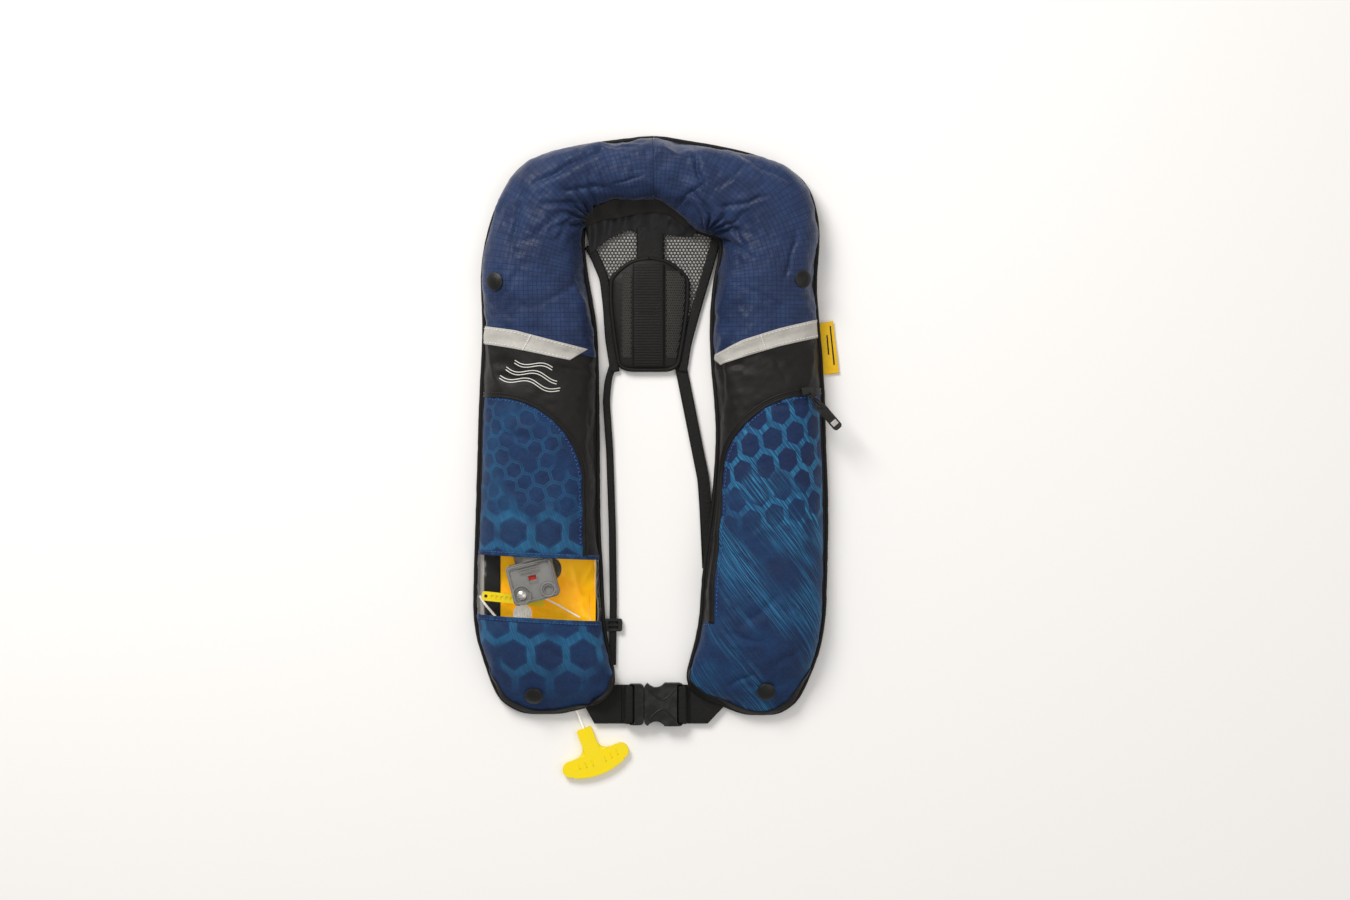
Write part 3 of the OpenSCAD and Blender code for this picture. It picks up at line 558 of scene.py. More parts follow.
# ==== cloth ====
def billowed(piece, slack=0.02, pressure=2.0, cap=3.0, frames=14):
    """Lets a sheet pinned along its outline swell and buckle a little, then keeps that shape."""
    edge = bmesh.new()
    edge.from_mesh(piece.data)
    pinned = [v.index for v in edge.verts if v.is_boundary]
    edge.free()
    rest = coordinates(piece)
    group = piece.vertex_groups.new(name="pinned")
    group.add(pinned, 1.0, "REPLACE")
    cloth = piece.modifiers.new("cloth", "CLOTH")
    s = cloth.settings
    s.vertex_group_mass = "pinned"
    s.quality = 6
    s.mass = 0.12
    s.tension_stiffness = s.compression_stiffness = 20
    s.shear_stiffness = 8
    s.bending_stiffness = 0.04
    s.shrink_min = -slack
    s.use_pressure = True
    s.uniform_pressure_force = pressure
    s.effector_weights.gravity = 0
    cloth.collision_settings.use_collision = False
    cloth.point_cache.frame_end = frames + 1
    for f in range(1, frames + 1):
        scene.frame_set(f)
    graph = bpy.context.evaluated_depsgraph_get()
    moved = coordinates(piece.evaluated_get(graph))
    piece.modifiers.remove(cloth)
    piece.vertex_groups.clear()
    scene.frame_set(1)
    step = moved - rest
    size = np.linalg.norm(step, axis=1, keepdims=True) + 1e-9
    set_coordinates(piece, rest + step * np.tanh(size / cap) * cap / size)
    return piece


# ==== materials ====
class Shade:
    """Builds one procedural material out of small steps."""

    def __init__(self, name):
        self.material = bpy.data.materials.new(name)
        self.material.use_nodes = True
        self.tree = self.material.node_tree
        self.tree.nodes.clear()
        self.out = self.node("ShaderNodeOutputMaterial")
        self.bsdf = self.node("ShaderNodeBsdfPrincipled")
        self.link(self.bsdf.outputs[0], self.out.inputs["Surface"])

    def node(self, kind, **settings):
        made = self.tree.nodes.new(kind)
        for key, value in settings.items():
            setattr(made, key, value)
        return made

    def link(self, a, b):
        self.tree.links.new(a, b)

    def feed(self, socket, value):
        if isinstance(value, bpy.types.NodeSocket):
            self.link(value, socket)
        elif isinstance(value, (tuple, list)):
            alpha = (1,) if len(value) == 3 and len(socket.default_value) == 4 else ()
            socket.default_value = tuple(value) + alpha
        else:
            socket.default_value = value

    def set(self, name, value):
        self.feed(self.bsdf.inputs[name], value)

    def math(self, operation, *values):
        made = self.node("ShaderNodeMath", operation=operation)
        for socket, value in zip(made.inputs, values):
            self.feed(socket, value)
        return made.outputs[0]

    def plus(self, a, b):
        return self.math("ADD", a, b)

    def minus(self, a, b):
        return self.math("SUBTRACT", a, b)

    def times(self, a, b):
        return self.math("MULTIPLY", a, b)

    def mix(self, share, a, b):
        made = self.node("ShaderNodeMix", data_type="RGBA")
        self.feed(made.inputs[0], share)
        self.feed(made.inputs[6], a)
        self.feed(made.inputs[7], b)
        return made.outputs[2]

    def plan(self, on_cloth):
        """x and y in mm: the sheet's own map, or the frame's coordinates."""
        if on_cloth:
            source = self.node("ShaderNodeUVMap", uv_map="cloth").outputs[0]
            factor = 1.0
        else:
            source = self.node("ShaderNodeTexCoord").outputs["Object"]
            factor = 1000.0
        scaled = self.node("ShaderNodeVectorMath", operation="SCALE")
        self.link(source, scaled.inputs[0])
        scaled.inputs[3].default_value = factor
        parts = self.node("ShaderNodeSeparateXYZ")
        self.link(scaled.outputs[0], parts.inputs[0])
        self.place = scaled.outputs[0]
        return parts.outputs[0], parts.outputs[1]

    def noise(self, size, detail=2.0, rough=0.55, vector=None, low=0.35, high=0.65):
        """Noise of a size in mm, stretched to fill 0 to 1."""
        made = self.node("ShaderNodeTexNoise")
        self.link(vector or self.place, made.inputs["Vector"])
        made.inputs["Scale"].default_value = 1.0 / size
        made.inputs["Detail"].default_value = detail
        made.inputs["Roughness"].default_value = rough
        return self.between(made.outputs[0], low, high)

    def between(self, value, low, high):
        made = self.node("ShaderNodeMapRange", interpolation_type="SMOOTHSTEP")
        self.feed(made.inputs[0], value)
        made.inputs[1].default_value = low
        made.inputs[2].default_value = high
        return made.outputs[0]

    def vector(self, x, y, z=0.0):
        made = self.node("ShaderNodeCombineXYZ")
        for socket, value in zip(made.inputs, (x, y, z)):
            self.feed(socket, value)
        return made.outputs[0]

    def turned(self, x, y, degrees):
        c, s = math.cos(math.radians(degrees)), math.sin(math.radians(degrees))
        return (self.plus(self.times(x, c), self.times(y, s)),
                self.minus(self.times(y, c), self.times(x, s)))

    def waves(self, value, pitch):
        """0 to 1 and back, once every pitch mm."""
        return self.math("MULTIPLY_ADD", self.math("SINE", self.times(value, 2 * math.pi / pitch)), 0.5, 0.5)

    def bump(self, height, distance):
        made = self.node("ShaderNodeBump")
        made.inputs["Strength"].default_value = 1.0
        made.inputs["Distance"].default_value = distance * MM
        self.feed(made.inputs["Height"], height)
        self.link(made.outputs[0], self.bsdf.inputs["Normal"])

    def honeycomb(self, x, y, pitch, tilt):
        """Distance to the border of a honeycomb cell: 0 at the border, 0.5 at its middle."""
        m, plus, minus, times, root3 = self.math, self.plus, self.minus, self.times, math.sqrt(3)
        u, v = self.turned(x, y, tilt)
        u, v = m("DIVIDE", u, pitch), m("DIVIDE", v, pitch)
        reach = []
        for shift in (0.0, 0.5):
            a = minus(m("FLOORED_MODULO", plus(u, shift), 1.0), 0.5)
            b = minus(m("FLOORED_MODULO", plus(v, shift * root3), root3), root3 / 2)
            a, b = m("ABSOLUTE", a), m("ABSOLUTE", b)
            reach.append(m("MAXIMUM", a, plus(times(a, 0.5), times(b, root3 / 2))))
        return minus(0.5, m("MINIMUM", *reach))


def lit(colour, factor):
    """A colour made lighter or darker."""
    return tuple(min(c * factor, 1.0) for c in colour)


def woven(name, colour, pitch=1.0, depth=0.12, sheen=0.2, rough=0.72, on_cloth=True, mottle=0.3,
          ripstop=0.0, tint=None, glow=0.0):
    """Plain woven cloth: threads, soft mottling, sheen; ripstop is the pitch of its reinforcing grid."""
    sh = Shade(name)
    x, y = sh.plan(on_cloth)
    m, plus, minus, times = sh.math, sh.plus, sh.minus, sh.times
    worn = sh.noise(26, 3)
    dust = sh.noise(3.0, 2)
    base = sh.mix(times(worn, mottle), lit(colour, 1.0), tint or lit(colour, 1.6))
    base = sh.mix(times(dust, 0.16), base, lit(colour, 0.6))
    threads = times(sh.waves(plus(x, y), pitch), sh.waves(minus(x, y), pitch))
    height = plus(times(threads, 0.5), times(dust, 0.5))
    if ripstop:
        grid = m("MAXIMUM", *[sh.between(sh.waves(v, ripstop), 0.90, 0.99) for v in (x, y)])
        base = sh.mix(times(grid, 0.5), base, lit(colour, 0.4))
        height = plus(height, times(grid, -1.5))
    sh.set("Base Color", base)
    sh.set("Roughness", m("MULTIPLY_ADD", worn, 0.12, rough - 0.06))
    sh.set("Sheen Weight", sheen)
    sh.set("Sheen Roughness", 0.35)
    sh.set("Specular IOR Level", 0.22)
    if glow:                     # painted light: an emission glow that brightens the cloth where it lies in shade
        sh.set("Emission Color", base)
        sh.set("Emission Strength", glow)
    sh.bump(height, depth)
    return sh


def printed(name, streaked):
    """Dyed cloth with the jacket's own pattern of honeycombs and brushed streaks."""
    sh = Shade(name)
    x, y = sh.plan(True)
    m, plus, minus, times = sh.math, sh.plus, sh.minus, sh.times
    deep, mid, bright = (0.006, 0.020, 0.070), (0.007, 0.033, 0.103), (0.022, 0.180, 0.350)
    cloudy = sh.noise(30, 3)
    base = sh.mix(cloudy, deep, mid)
    drift = times(minus(sh.noise(42, 1), 0.5), 1.6)
    wx, wy = plus(x, drift), minus(y, drift)
    u, v = sh.turned(x, y, -52 if streaked else -70)
    lines = sh.noise(1.0, 2, 0.6, sh.vector(m("DIVIDE", u, 46), m("DIVIDE", v, 1.15)), 0.46, 0.60)
    if streaked:
        cells = sh.honeycomb(wx, times(wy, 0.82), 22.0, 12)
        patch = times(sh.between(y, -352, -300), sh.noise(40, 1, 0.5, None, 0.30, 0.50))
        border = minus(1.0, sh.between(cells, 0.09, 0.13))
        glow = sh.noise(44, 2, 0.5, sh.vector(m("DIVIDE", u, 3.0), v), 0.40, 0.66)
        high = sh.between(y, -300, -225)
        shine = m("MAXIMUM", times(glow, 0.75), times(high, 0.25))
        ground = times(m("MULTIPLY_ADD", lines, 1.25, 0.03), shine)
        inside = times(patch, minus(1.0, border))
        ground = times(ground, minus(1.0, inside))
        outline = times(times(border, patch), m("MULTIPLY_ADD", lines, 0.45, 0.18))
        ground = plus(ground, outline)
        base = sh.mix(ground, base, bright)
        base = sh.mix(times(inside, 0.75), base, (0.006, 0.017, 0.066))
    else:
        large = sh.honeycomb(wx, wy, 33.0, 0)
        small = sh.honeycomb(plus(wx, 7), plus(wy, 3), 16.5, 14)
        lower = minus(1.0, sh.between(y, -345, -300))
        band = minus(1.0, sh.between(large, 0.10, 0.13))
        rim = times(sh.between(large, 0.125, 0.14), minus(1.0, sh.between(large, 0.15, 0.17)))
        fade = times(lower, sh.noise(34, 1, 0.5, None, 0.33, 0.52))
        fade = times(fade, sh.between(y, -505, -455))
        pale = times(band, times(fade, m("MULTIPLY_ADD", lines, 0.22, 0.34)))
        pale = plus(pale, times(rim, times(fade, 0.10)))
        thin = times(sh.between(small, 0.045, 0.06), minus(1.0, sh.between(small, 0.075, 0.09)))
        thin = plus(thin, minus(1.0, sh.between(small, 0.0, 0.02)))
        top = times(minus(1.0, lower), sh.noise(24, 1, 0.5, None, 0.34, 0.52))
        pale = plus(pale, times(thin, times(top, 0.44)))
        haze = sh.noise(38, 2, 0.5, sh.vector(m("DIVIDE", u, 2.0), v), 0.48, 0.72)
        pale = plus(pale, times(haze, 0.14))
        base = sh.mix(pale, base, bright)
        dark = times(times(sh.between(large, 0.14, 0.18), lower), 0.45)
        base = sh.mix(dark, base, (0.008, 0.024, 0.082))
    dust = sh.noise(2.5, 2)
    base = sh.mix(times(dust, 0.05), base, (0.10, 0.12, 0.20))
    twill = sh.waves(plus(x, times(y, 0.6)), 0.9)
    sh.set("Base Color", base)
    sh.set("Roughness", m("MULTIPLY_ADD", cloudy, 0.10, 0.62))
    sh.set("Sheen Weight", 0.05)
    sh.set("Sheen Roughness", 0.4)
    sh.set("Specular IOR Level", 0.2)
    sh.bump(plus(times(twill, 0.5), times(dust, 0.6)), 0.10)
    return sh


def moulded(name, colour, rough=0.38, grain=0.05, edge=0.5, metallic=0.0, worn=(0.5, 0.5, 0.5)):
    """Moulded or metal surface: fine grain, rounded and lightly worn edges."""
    sh = Shade(name)
    sh.plan(False)
    m, times = sh.math, sh.times
    fine_grain, cloud = sh.noise(0.8, 2), sh.noise(9, 3)
    point = sh.node("ShaderNodeNewGeometry").outputs["Pointiness"]
    rubbed = times(sh.between(point, 0.53, 0.62), times(cloud, 0.35))
    base = sh.mix(times(cloud, 0.25), colour, lit(colour, 0.72))
    base = sh.mix(rubbed, base, worn)
    sh.set("Base Color", base)
    sh.set("Roughness", m("MULTIPLY_ADD", cloud, 0.16, rough - 0.05))
    sh.set("Metallic", metallic)
    sh.set("Specular IOR Level", 0.5 if metallic else 0.32)
    sh.bump(fine_grain, grain)
    rounded = sh.node("ShaderNodeBevel", samples=4)
    rounded.inputs["Radius"].default_value = edge * MM
    bump = sh.bsdf.inputs["Normal"].links[0].from_node
    sh.link(rounded.outputs[0], bump.inputs["Normal"])
    return sh


def clear_vinyl(name):
    """Clear sheet: see-through, with a glossy rippled face."""
    sh = Shade(name)
    sh.plan(True)
    clear = sh.node("ShaderNodeBsdfTransparent")
    gloss = sh.node("ShaderNodeBsdfGlossy")
    gloss.inputs["Roughness"].default_value = 0.12
    facing = sh.node("ShaderNodeLayerWeight")
    facing.inputs[0].default_value = 0.25
    ripple = sh.node("ShaderNodeBump")
    ripple.inputs["Distance"].default_value = 0.4 * MM
    sh.feed(ripple.inputs["Height"], sh.noise(14, 2))
    sh.link(ripple.outputs[0], gloss.inputs["Normal"])
    blend = sh.node("ShaderNodeMixShader")
    sh.feed(blend.inputs[0], sh.math("MULTIPLY_ADD", facing.outputs["Fresnel"], 0.22, 0.0))
    sh.link(clear.outputs[0], blend.inputs[1])
    sh.link(gloss.outputs[0], blend.inputs[2])
    sh.link(blend.outputs[0], sh.out.inputs["Surface"])
    return sh


BLACK = (0.0085, 0.0075, 0.0070)
LOOKS = {
    "navy_ripstop": woven("navy_ripstop", (0.013, 0.027, 0.080), ripstop=4.2, sheen=0.16, rough=0.42,
                          mottle=0.6, tint=(0.024, 0.050, 0.140)),
    "print_left": printed("print_left", False),
    "print_right": printed("print_right", True),
    "black_fabric": woven("black_fabric", BLACK, pitch=0.9, sheen=0.03, rough=0.5, mottle=0.5),
    "satin_lining": woven("satin_lining", (0.012, 0.012, 0.013), pitch=0.7, depth=0.06, sheen=0.12,
                          rough=0.36),
    "piping": woven("piping", (0.006, 0.0055, 0.0052), pitch=1.2, sheen=0.03, rough=0.55),
    "mesh_fabric": woven("mesh_fabric", (0.050, 0.047, 0.043), pitch=0.8, sheen=0.2, on_cloth=False),
    "webbing": woven("webbing", (0.0058, 0.0054, 0.0052), pitch=1.6, depth=0.25, sheen=0.04, rough=0.55),
    "reflective_tape": woven("reflective_tape", (0.47, 0.455, 0.42), pitch=0.8, depth=0.05, sheen=0.1,
                             rough=0.42, tint=(0.50, 0.485, 0.455)),
    "tag_fabric": woven("tag_fabric", (0.90, 0.53, 0.012), pitch=0.8, depth=0.05, sheen=0.1, rough=0.55,
                        tint=(0.93, 0.62, 0.02)),
    # the bladder cloth carries painted light: its glow lifts it where the covers shade it
    "bladder_fabric": woven("bladder_fabric", (1.0, 0.43, 0.0), pitch=0.7, depth=0.05, sheen=0.0, glow=0.28,
                            rough=0.42, mottle=0.7, tint=(1.0, 0.56, 0.0)),
    "clear_window": clear_vinyl("clear_window"),
    "zip_tape": woven("zip_tape", (0.0090, 0.0078, 0.0068), pitch=1.0, sheen=0.03, rough=0.5),
    "black_plastic": moulded("black_plastic", (0.0052, 0.0050, 0.0048), rough=0.34, worn=(0.04, 0.04, 0.04)),
    "black_rubber": moulded("black_rubber", (0.0078, 0.0075, 0.0072), rough=0.55, grain=0.08,
                            worn=(0.06, 0.06, 0.06)),
    "steel": moulded("steel", (0.72, 0.70, 0.66), rough=0.22, metallic=1.0, worn=(0.8, 0.8, 0.8)),
    "grey_plastic": moulded("grey_plastic", (0.235, 0.232, 0.22), rough=0.5, grain=0.08,
                            worn=(0.36, 0.36, 0.35)),
    "dark_plastic": moulded("dark_plastic", (0.045, 0.042, 0.022), rough=0.45),
    "yellow_plastic": moulded("yellow_plastic", (0.95, 0.72, 0.0), rough=0.40, worn=(0.98, 0.80, 0.02)),
    "red_plastic": moulded("red_plastic", (0.72, 0.02, 0.015), rough=0.35),
    "cylinder_paint": moulded("cylinder_paint", (0.15, 0.155, 0.15), rough=0.4, metallic=0.3),
    # the pale cord carries painted light: its glow lifts the cords and the slotted button out of their shade
    "pale_cord": woven("pale_cord", (0.90, 0.88, 0.80), pitch=1.1, sheen=0.1, glow=0.22),
    "white_thread": woven("white_thread", (0.78, 0.76, 0.70), on_cloth=False, pitch=0.5),
    "blue_thread": woven("blue_thread", (0.035, 0.095, 0.28), on_cloth=False, pitch=0.5),
    "dark_thread": woven("dark_thread", (0.012, 0.020, 0.060), on_cloth=False, pitch=0.5),
    "black_thread": woven("black_thread", (0.014, 0.013, 0.012), on_cloth=False, pitch=0.5),
    "lining_white": woven("lining_white", (0.50, 0.47, 0.45), pitch=0.8, sheen=0.1),
}


def dress(piece, look, body, *replaced):
    """Gives a finished piece its material, slot and body; a 'fold' piece, one that spans the fronts and the
    collar, gets no body and only has its transform baked.
    """
    piece.data.materials.clear()
    piece.data.materials.append(LOOKS[look].material)
    if body == "fold":
        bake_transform(piece)
    else:
        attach(piece, body)
    if replaced:
        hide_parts(*replaced)
    return piece


# ==== covers ====
STRIP_MID = {"left": ((-161.5, -157.5), (-71.0, -176.0)), "right": ((152.0, -151.5), (57.0, -180.0))}
ZIP_ARC = {"left": (-150.0, -298.0, 84.0), "right": (148.0, -297.0, 86.0)}   # centre x, y and radius
ZIP_RUN = {"left": [(-65.6, -318), (-65.2, -338), (-65.0, -366)],
           "right": [(60.5, -330), (58, -365), (55.5, -395), (54.5, -429)]}
HEM_TOP = ((-167.0, -363.5), (-50.0, -369.0))      # lower hem of the left print, over the window
HEM_LOW = ((-169.0, -421.5), (-47.0, -428.5))      # upper hem of the left flap
WINDOW_TOP, WINDOW_LOW = -358, -432                # the smooth stretch of the left front
STEP_Y = -428.5                                    # where the right print widens to the inner edge
TUNNEL = (-50.0, -483.0, 14.6)                     # room under the left corner for the buckle plug


def line_y(line, x):
    """Height in plan of a straight line at x."""
    (x0, y0), (x1, y1) = line
    return y0 + (x - x0) * (y1 - y0) / (x1 - x0)


def cloth_map(dome, side, t, s):
    """Distance across the cloth in mm, from its middle line."""
    s_ref = np.linspace(-0.15, 1.15, 261)
    t_ref = dome.table[len(dome.table) // 2, 0]
    run = run_along(dome.point(t_ref, s_ref))
    run -= np.interp(0.5, s_ref, run)
    inner, outer, _ = dome.section(t)
    ref = dome.section(t_ref)
    scale = (outer - inner) / (ref[1] - ref[0])
    return side * ((inner + outer) / 2 - np.interp(s, s_ref, run) * scale)


def zip_path(name):
    """Plan points along the border between the black chest panel and the print."""
    cx, cy, r = ZIP_ARC[name]
    side = SIDES[name]
    a = np.radians(np.linspace(91, 0, 25))
    arc = [(cx - side * r * math.cos(k), cy + r * math.sin(k)) for k in a]
    lead = [(side * (abs(arc[0][0]) + k), arc[0][1] + 0.4) for k in (11.0, 5.0)]
    return resampled(lead + arc + ZIP_RUN[name], 2.0)


def in_print(name, x, y):
    """True on the print's side of the zip border."""
    path = zip_path(name)
    side = SIDES[name]
    top = np.interp(np.abs(x), *zip(*sorted((abs(px), py) for px, py in path if py > ZIP_ARC[name][1])))
    run = path[path[:, 1] <= ZIP_ARC[name][1]]
    inner = np.interp(-y, -run[:, 1], np.abs(run[:, 0]))
    above = np.where(y > ZIP_ARC[name][1], y < top, np.abs(x) > inner)
    above = above & (np.abs(x) > np.abs(path[:, 0]).min() - 0.5) | (y < STEP_Y)
    return above


def parted(piece, classes):
    """Splits a piece into {name: piece} by a function that names the class of each face from its centre."""
    mesh = piece.data
    centres = np.zeros(len(mesh.polygons) * 3)
    mesh.polygons.foreach_get("center", centres)
    centres = centres.reshape(-1, 3) / MM
    labels = classes(centres[:, 0], centres[:, 1])
    parts = {}
    for label in sorted(set(labels)):
        part = bmesh.new()
        part.from_mesh(mesh)
        part.faces.ensure_lookup_table()
        gone = [part.faces[i] for i in np.nonzero(labels != label)[0]]
        bmesh.ops.delete(part, geom=gone, context="FACES")
        data = bpy.data.meshes.new(label)
        part.to_mesh(data)
        part.free()
        parts[label] = bpy.data.objects.new(label, data)
        scene.collection.objects.link(parts[label])
    bpy.data.objects.remove(piece)
    return parts


ACROSS = np.linspace(-0.12, 1.12, 34)              # from under the outer rim to under the inner one
CLOTH_T, VINYL_T = 1.1, 0.5
TURN_R, TURN_RUN = 110, 172.8                      # the collar's middle line: radius, quarter turn's length
fabric_skins = []


def skin_copy(piece):
    """Keeps a copy of a cover's outer skin for laying tapes and stitches on."""
    copy = piece.copy()
    copy.data = piece.data.copy()
    fabric_skins.append(copy)
    return piece


def collar_cover(name):
    """One half of the blue collar, down to the reflective strip."""
    side, dome = SIDES[name], collar[name]
    edge_t = 90 + ARC_Y - line_y(STRIP_MID[name], dome.point(140, ACROSS)[:, 0])
    turned = np.broadcast_to(np.linspace(0, 90, 36)[:, None], (36, len(ACROSS)))
    share = np.linspace(0, 1, 13)[1:, None]
    t = np.concatenate([turned, 90 + (edge_t[None] - 90) * share])
    s = np.broadcast_to(ACROSS, t.shape)
    u = cloth_map(dome, side, t, s)
    along = -np.where(t < 90, np.radians(t) * TURN_R, TURN_RUN + t - 90)
    piece = sheet("collar_cover_" + name, dome.point(t, s), np.stack([u, along], -1))
    billowed(piece, 0.028, 2.2, 3.2)
    subdivided(piece, 2)
    wrinkled(piece, sharpened(COLLAR_CREASES, 1.8, 0.8), NECK_CORNERS, swell=1.4, grain=0.6)
    skin_copy(piece)
    thickened(piece, CLOTH_T)
    return dress(piece, "navy_ripstop", "collar", "collar_cover_" + name)


def front_sheet(name):
    """The whole cover of one front, before it is parted into panels."""
    side, dome = SIDES[name], front[name]
    end = dome.table[-1, 0]
    top = -line_y(STRIP_MID[name], dome.point(165, ACROSS)[:, 0])
    share = np.linspace(0, 1, 76)[:, None]
    t = top.mean() + (end - top.mean()) * share + (top - top.mean())[None] * (1 - share) ** 6
    s = np.broadcast_to(ACROSS, t.shape)
    u = cloth_map(dome, side, t, s)
    piece = sheet("front_" + name, dome.point(t, s), np.stack([u, -t], -1))
    billowed(piece, 0.018, 2.0, 2.2)
    if name == "left":                              # the window stays as smooth as its dome
        co = coordinates(piece)
        flat = np.clip(np.minimum(WINDOW_TOP - co[:, 1], co[:, 1] - WINDOW_LOW) / 8, 0, 1)[:, None]
        set_coordinates(piece, co + (dome.point(t, s).reshape(-1, 3) - co) * flat)
    subdivided(piece, 2)
    wrinkled(piece, sharpened(FRONT_CREASES, 1.6, 0.9), swell=1.0, grain=0.4)
    if name == "left":                              # clears the buckle plug
        co = coordinates(piece)
        room = (co[:, 0] > TUNNEL[0] - 3) & (co[:, 1] < TUNNEL[1] + 3) & (co[:, 2] < TUNNEL[2])
        co[room, 2] = TUNNEL[2]
        set_coordinates(piece, co)
    return skin_copy(piece)


def left_class(x, y):
    """Which part of the left front a place belongs to, from the window's hems and the print's border."""
    above = np.where(in_print("left", x, y), "print_left", "chest_left")
    below = np.where(y <= line_y(HEM_LOW, x), "flap_left", above)
    return np.where((y < line_y(HEM_TOP, x)) & (y > line_y(HEM_LOW, x)), "window_left", below)


def right_class(x, y):
    return np.where(in_print("right", x, y), "print_right", "chest_right")


for name in SIDES:
    collar_cover(name)
left_parts, right_parts = parted(front_sheet("left"), left_class), parted(front_sheet("right"), right_class)
for part in (*left_parts.values(), *right_parts.values()):
    thickened(part, VINYL_T if part.name == "window_left" else CLOTH_T)
dress(left_parts["chest_left"], "black_fabric", "fold", "shoulder_panel_left")
dress(left_parts["print_left"], "print_left", "fronts", "upper_cover_left")
dress(left_parts["window_left"], "clear_window", "fronts", "inflator_window")
dress(left_parts["flap_left"], "print_left", "fronts", "lower_flap_left")
dress(right_parts["chest_right"], "black_fabric", "fold", "shoulder_panel_right")
dress(right_parts["print_right"], "print_right", "fronts", "front_cover_right")

cover_skin = tree_of(*fabric_skins)
for copy in fabric_skins:
    bpy.data.objects.remove(copy)


def laid(name, points, lift, part="front"):
    """Puts plan points on the covers' final surface; returns points and outward normals."""
    domes = collar if part == "collar" else front
    dome = domes[name]
    points = np.asarray(points, float)
    t, s = dome.mark(points[:, 0], points[:, 1])
    base, n = dome.point(t, s), dome.normal(t, s)
    placed = base.copy()
    above, reach = 14, 34            # the search starts above the dome and ends below it
    for k in range(len(base)):
        start = Vector((base[k] + n[k] * above) * MM)
        hit = cover_skin.ray_cast(start, Vector(-n[k]), reach * MM)
        if hit[0] is not None:
            placed[k] = np.array(hit[0]) / MM
    return placed + n * lift, n


# ==== strips, seams and zips on the covers ====
STRIP_EDGES = {
    "left": ([(-165.2, -148.2), (-130, -153.6), (-95, -163), (-63, -171.2)],
             [(-165.2, -165.2), (-130, -171), (-98, -177.6), (-79, -181.6)]),
    "right": ([(155.0, -142.6), (118, -151.8), (84, -162.6), (55, -177)],
              [(157.0, -159.6), (118, -168.6), (88, -177.6), (61, -186)])}
STRIP_SEAM_X = {"left": -118, "right": 103}        # where two lengths of the strip are sewn together


def plan_lerp(path, shares):
    """Plan points at shares of a path's length."""
    path = np.asarray(path, float)
    run = run_along(path)
    at = np.asarray(shares) * run[-1]
    return np.stack([np.interp(at, run, path[:, 0]), np.interp(at, run, path[:, 1])], -1)


def reflective_strip(name):
    """Slanted tape across the cover, sewn along both edges and where its two lengths meet."""
    top, bottom = (plan_lerp(e, np.linspace(0, 1, 46)) for e in STRIP_EDGES[name])
    shares = np.linspace(0, 1, 9)[:, None, None]
    plan = top[None] * (1 - shares) + bottom[None] * shares
    points, normals = laid(name, plan.reshape(-1, 2), 0.9)
    points = points.reshape(*plan.shape[:2], 3)
    piece = sheet("reflector_" + name, points, plan)
    thickened(subdivided(piece, 1), 0.7)
    dress(piece, "reflective_tape", "fold", "reflector_" + name)
    rows = [stitches("t", *laid(name, plan[1, 1:-1], 1.0), 2.4, 1.2, 0.36),
            stitches("t", *laid(name, plan[-2, 1:-1], 1.0), 2.4, 1.2, 0.36)]
    seam_x = STRIP_SEAM_X[name]
    k = int(np.argmin(np.abs(plan[len(plan) // 2, :, 0] - seam_x)))
    rows.append(stitches("t", *laid(name, resampled(plan[:, k], 1.0), 1.1), 1.6, 0.3, 0.6))
    dress(joined("reflector_stitches_" + name, rows), "white_thread", "fold")


# width, places of the raised lines across it, and the CAD node that it stands for
ZIP_TAPE = {"left": (5.0, (-1.6, 1.4), "zip_band_left"), "right": (6.6, (-2.1, 0.0, 2.1), "zip_chain_right")}


def zip_tape(name):
    """Folded tape over the border of the print; the right one also carries the closed coil."""
    width, lips, node = ZIP_TAPE[name]
    path, normals = laid(name, zip_path(name), 0.55)
    path, normals = smoothed(path, 3), smoothed(normals, 3)
    parts = [ribbon("t", path, normals, width, 1.0)]
    side = unit(np.cross(np.gradient(path, axis=0), normals))
    for off in lips:
        parts.append(tube("t", path + side * off + normals * 0.45, 0.95 if off else 0.55, 8, 0.7))
    dress(joined(node, parts), "zip_tape", "fronts", node)
    flat = zip_path(name)
    across = beside(flat)
    into_print = np.array([SIDES[name], -0.6])
    if (across @ into_print).mean() < 0:
        across = -across
    row = flat + across * (width / 2 + 2.0)
    keep = slice(3, -2)
    thread = stitches("zip_stitches_" + name, *laid(name, smoothed(row, 2)[keep], 0.2), 2.4, 1.3, 0.6,
                      0.9 if name == "left" else 0.5)
    dress(thread, "blue_thread", "fronts")


def hem(name, line, x0, x1, shift):
    """Folded edge of the print above or below the window, with its zigzag thread; shift is up or down."""
    xs = np.linspace(x0, x1, 60)
    ys = line_y(line, xs) + shift * 1.4
    path, normals = laid("left", np.stack([xs, ys], 1), 0.35)
    dress(ribbon(name, smoothed(path, 2), normals, 4.6, 1.3), "print_left", "fronts")
    path, normals = laid("left", np.stack([xs, ys + shift * 1.2], 1), 1.0)
    dress(stitches(name + "_stitches", path, normals, 2.3, 1.3, 0.4, 0.35), "blue_thread", "fronts")


def seam(name, side, plan, height):
    """A sewn ridge of the collar with a row of thread beside it."""
    plan = resampled(plan, 1.5)
    path, normals = laid(side, plan, 0.0, "collar")
    dress(tube(name, path - normals * 0.5, 1.0, 8, 0.8 + height * 0.2), "navy_ripstop", "collar")
    path, normals = laid(side, plan + beside(plan) * 1.5, 0.15, "collar")
    dress(stitches(name + "_thread", path, normals, 2.2, 1.4), "dark_thread", "collar")


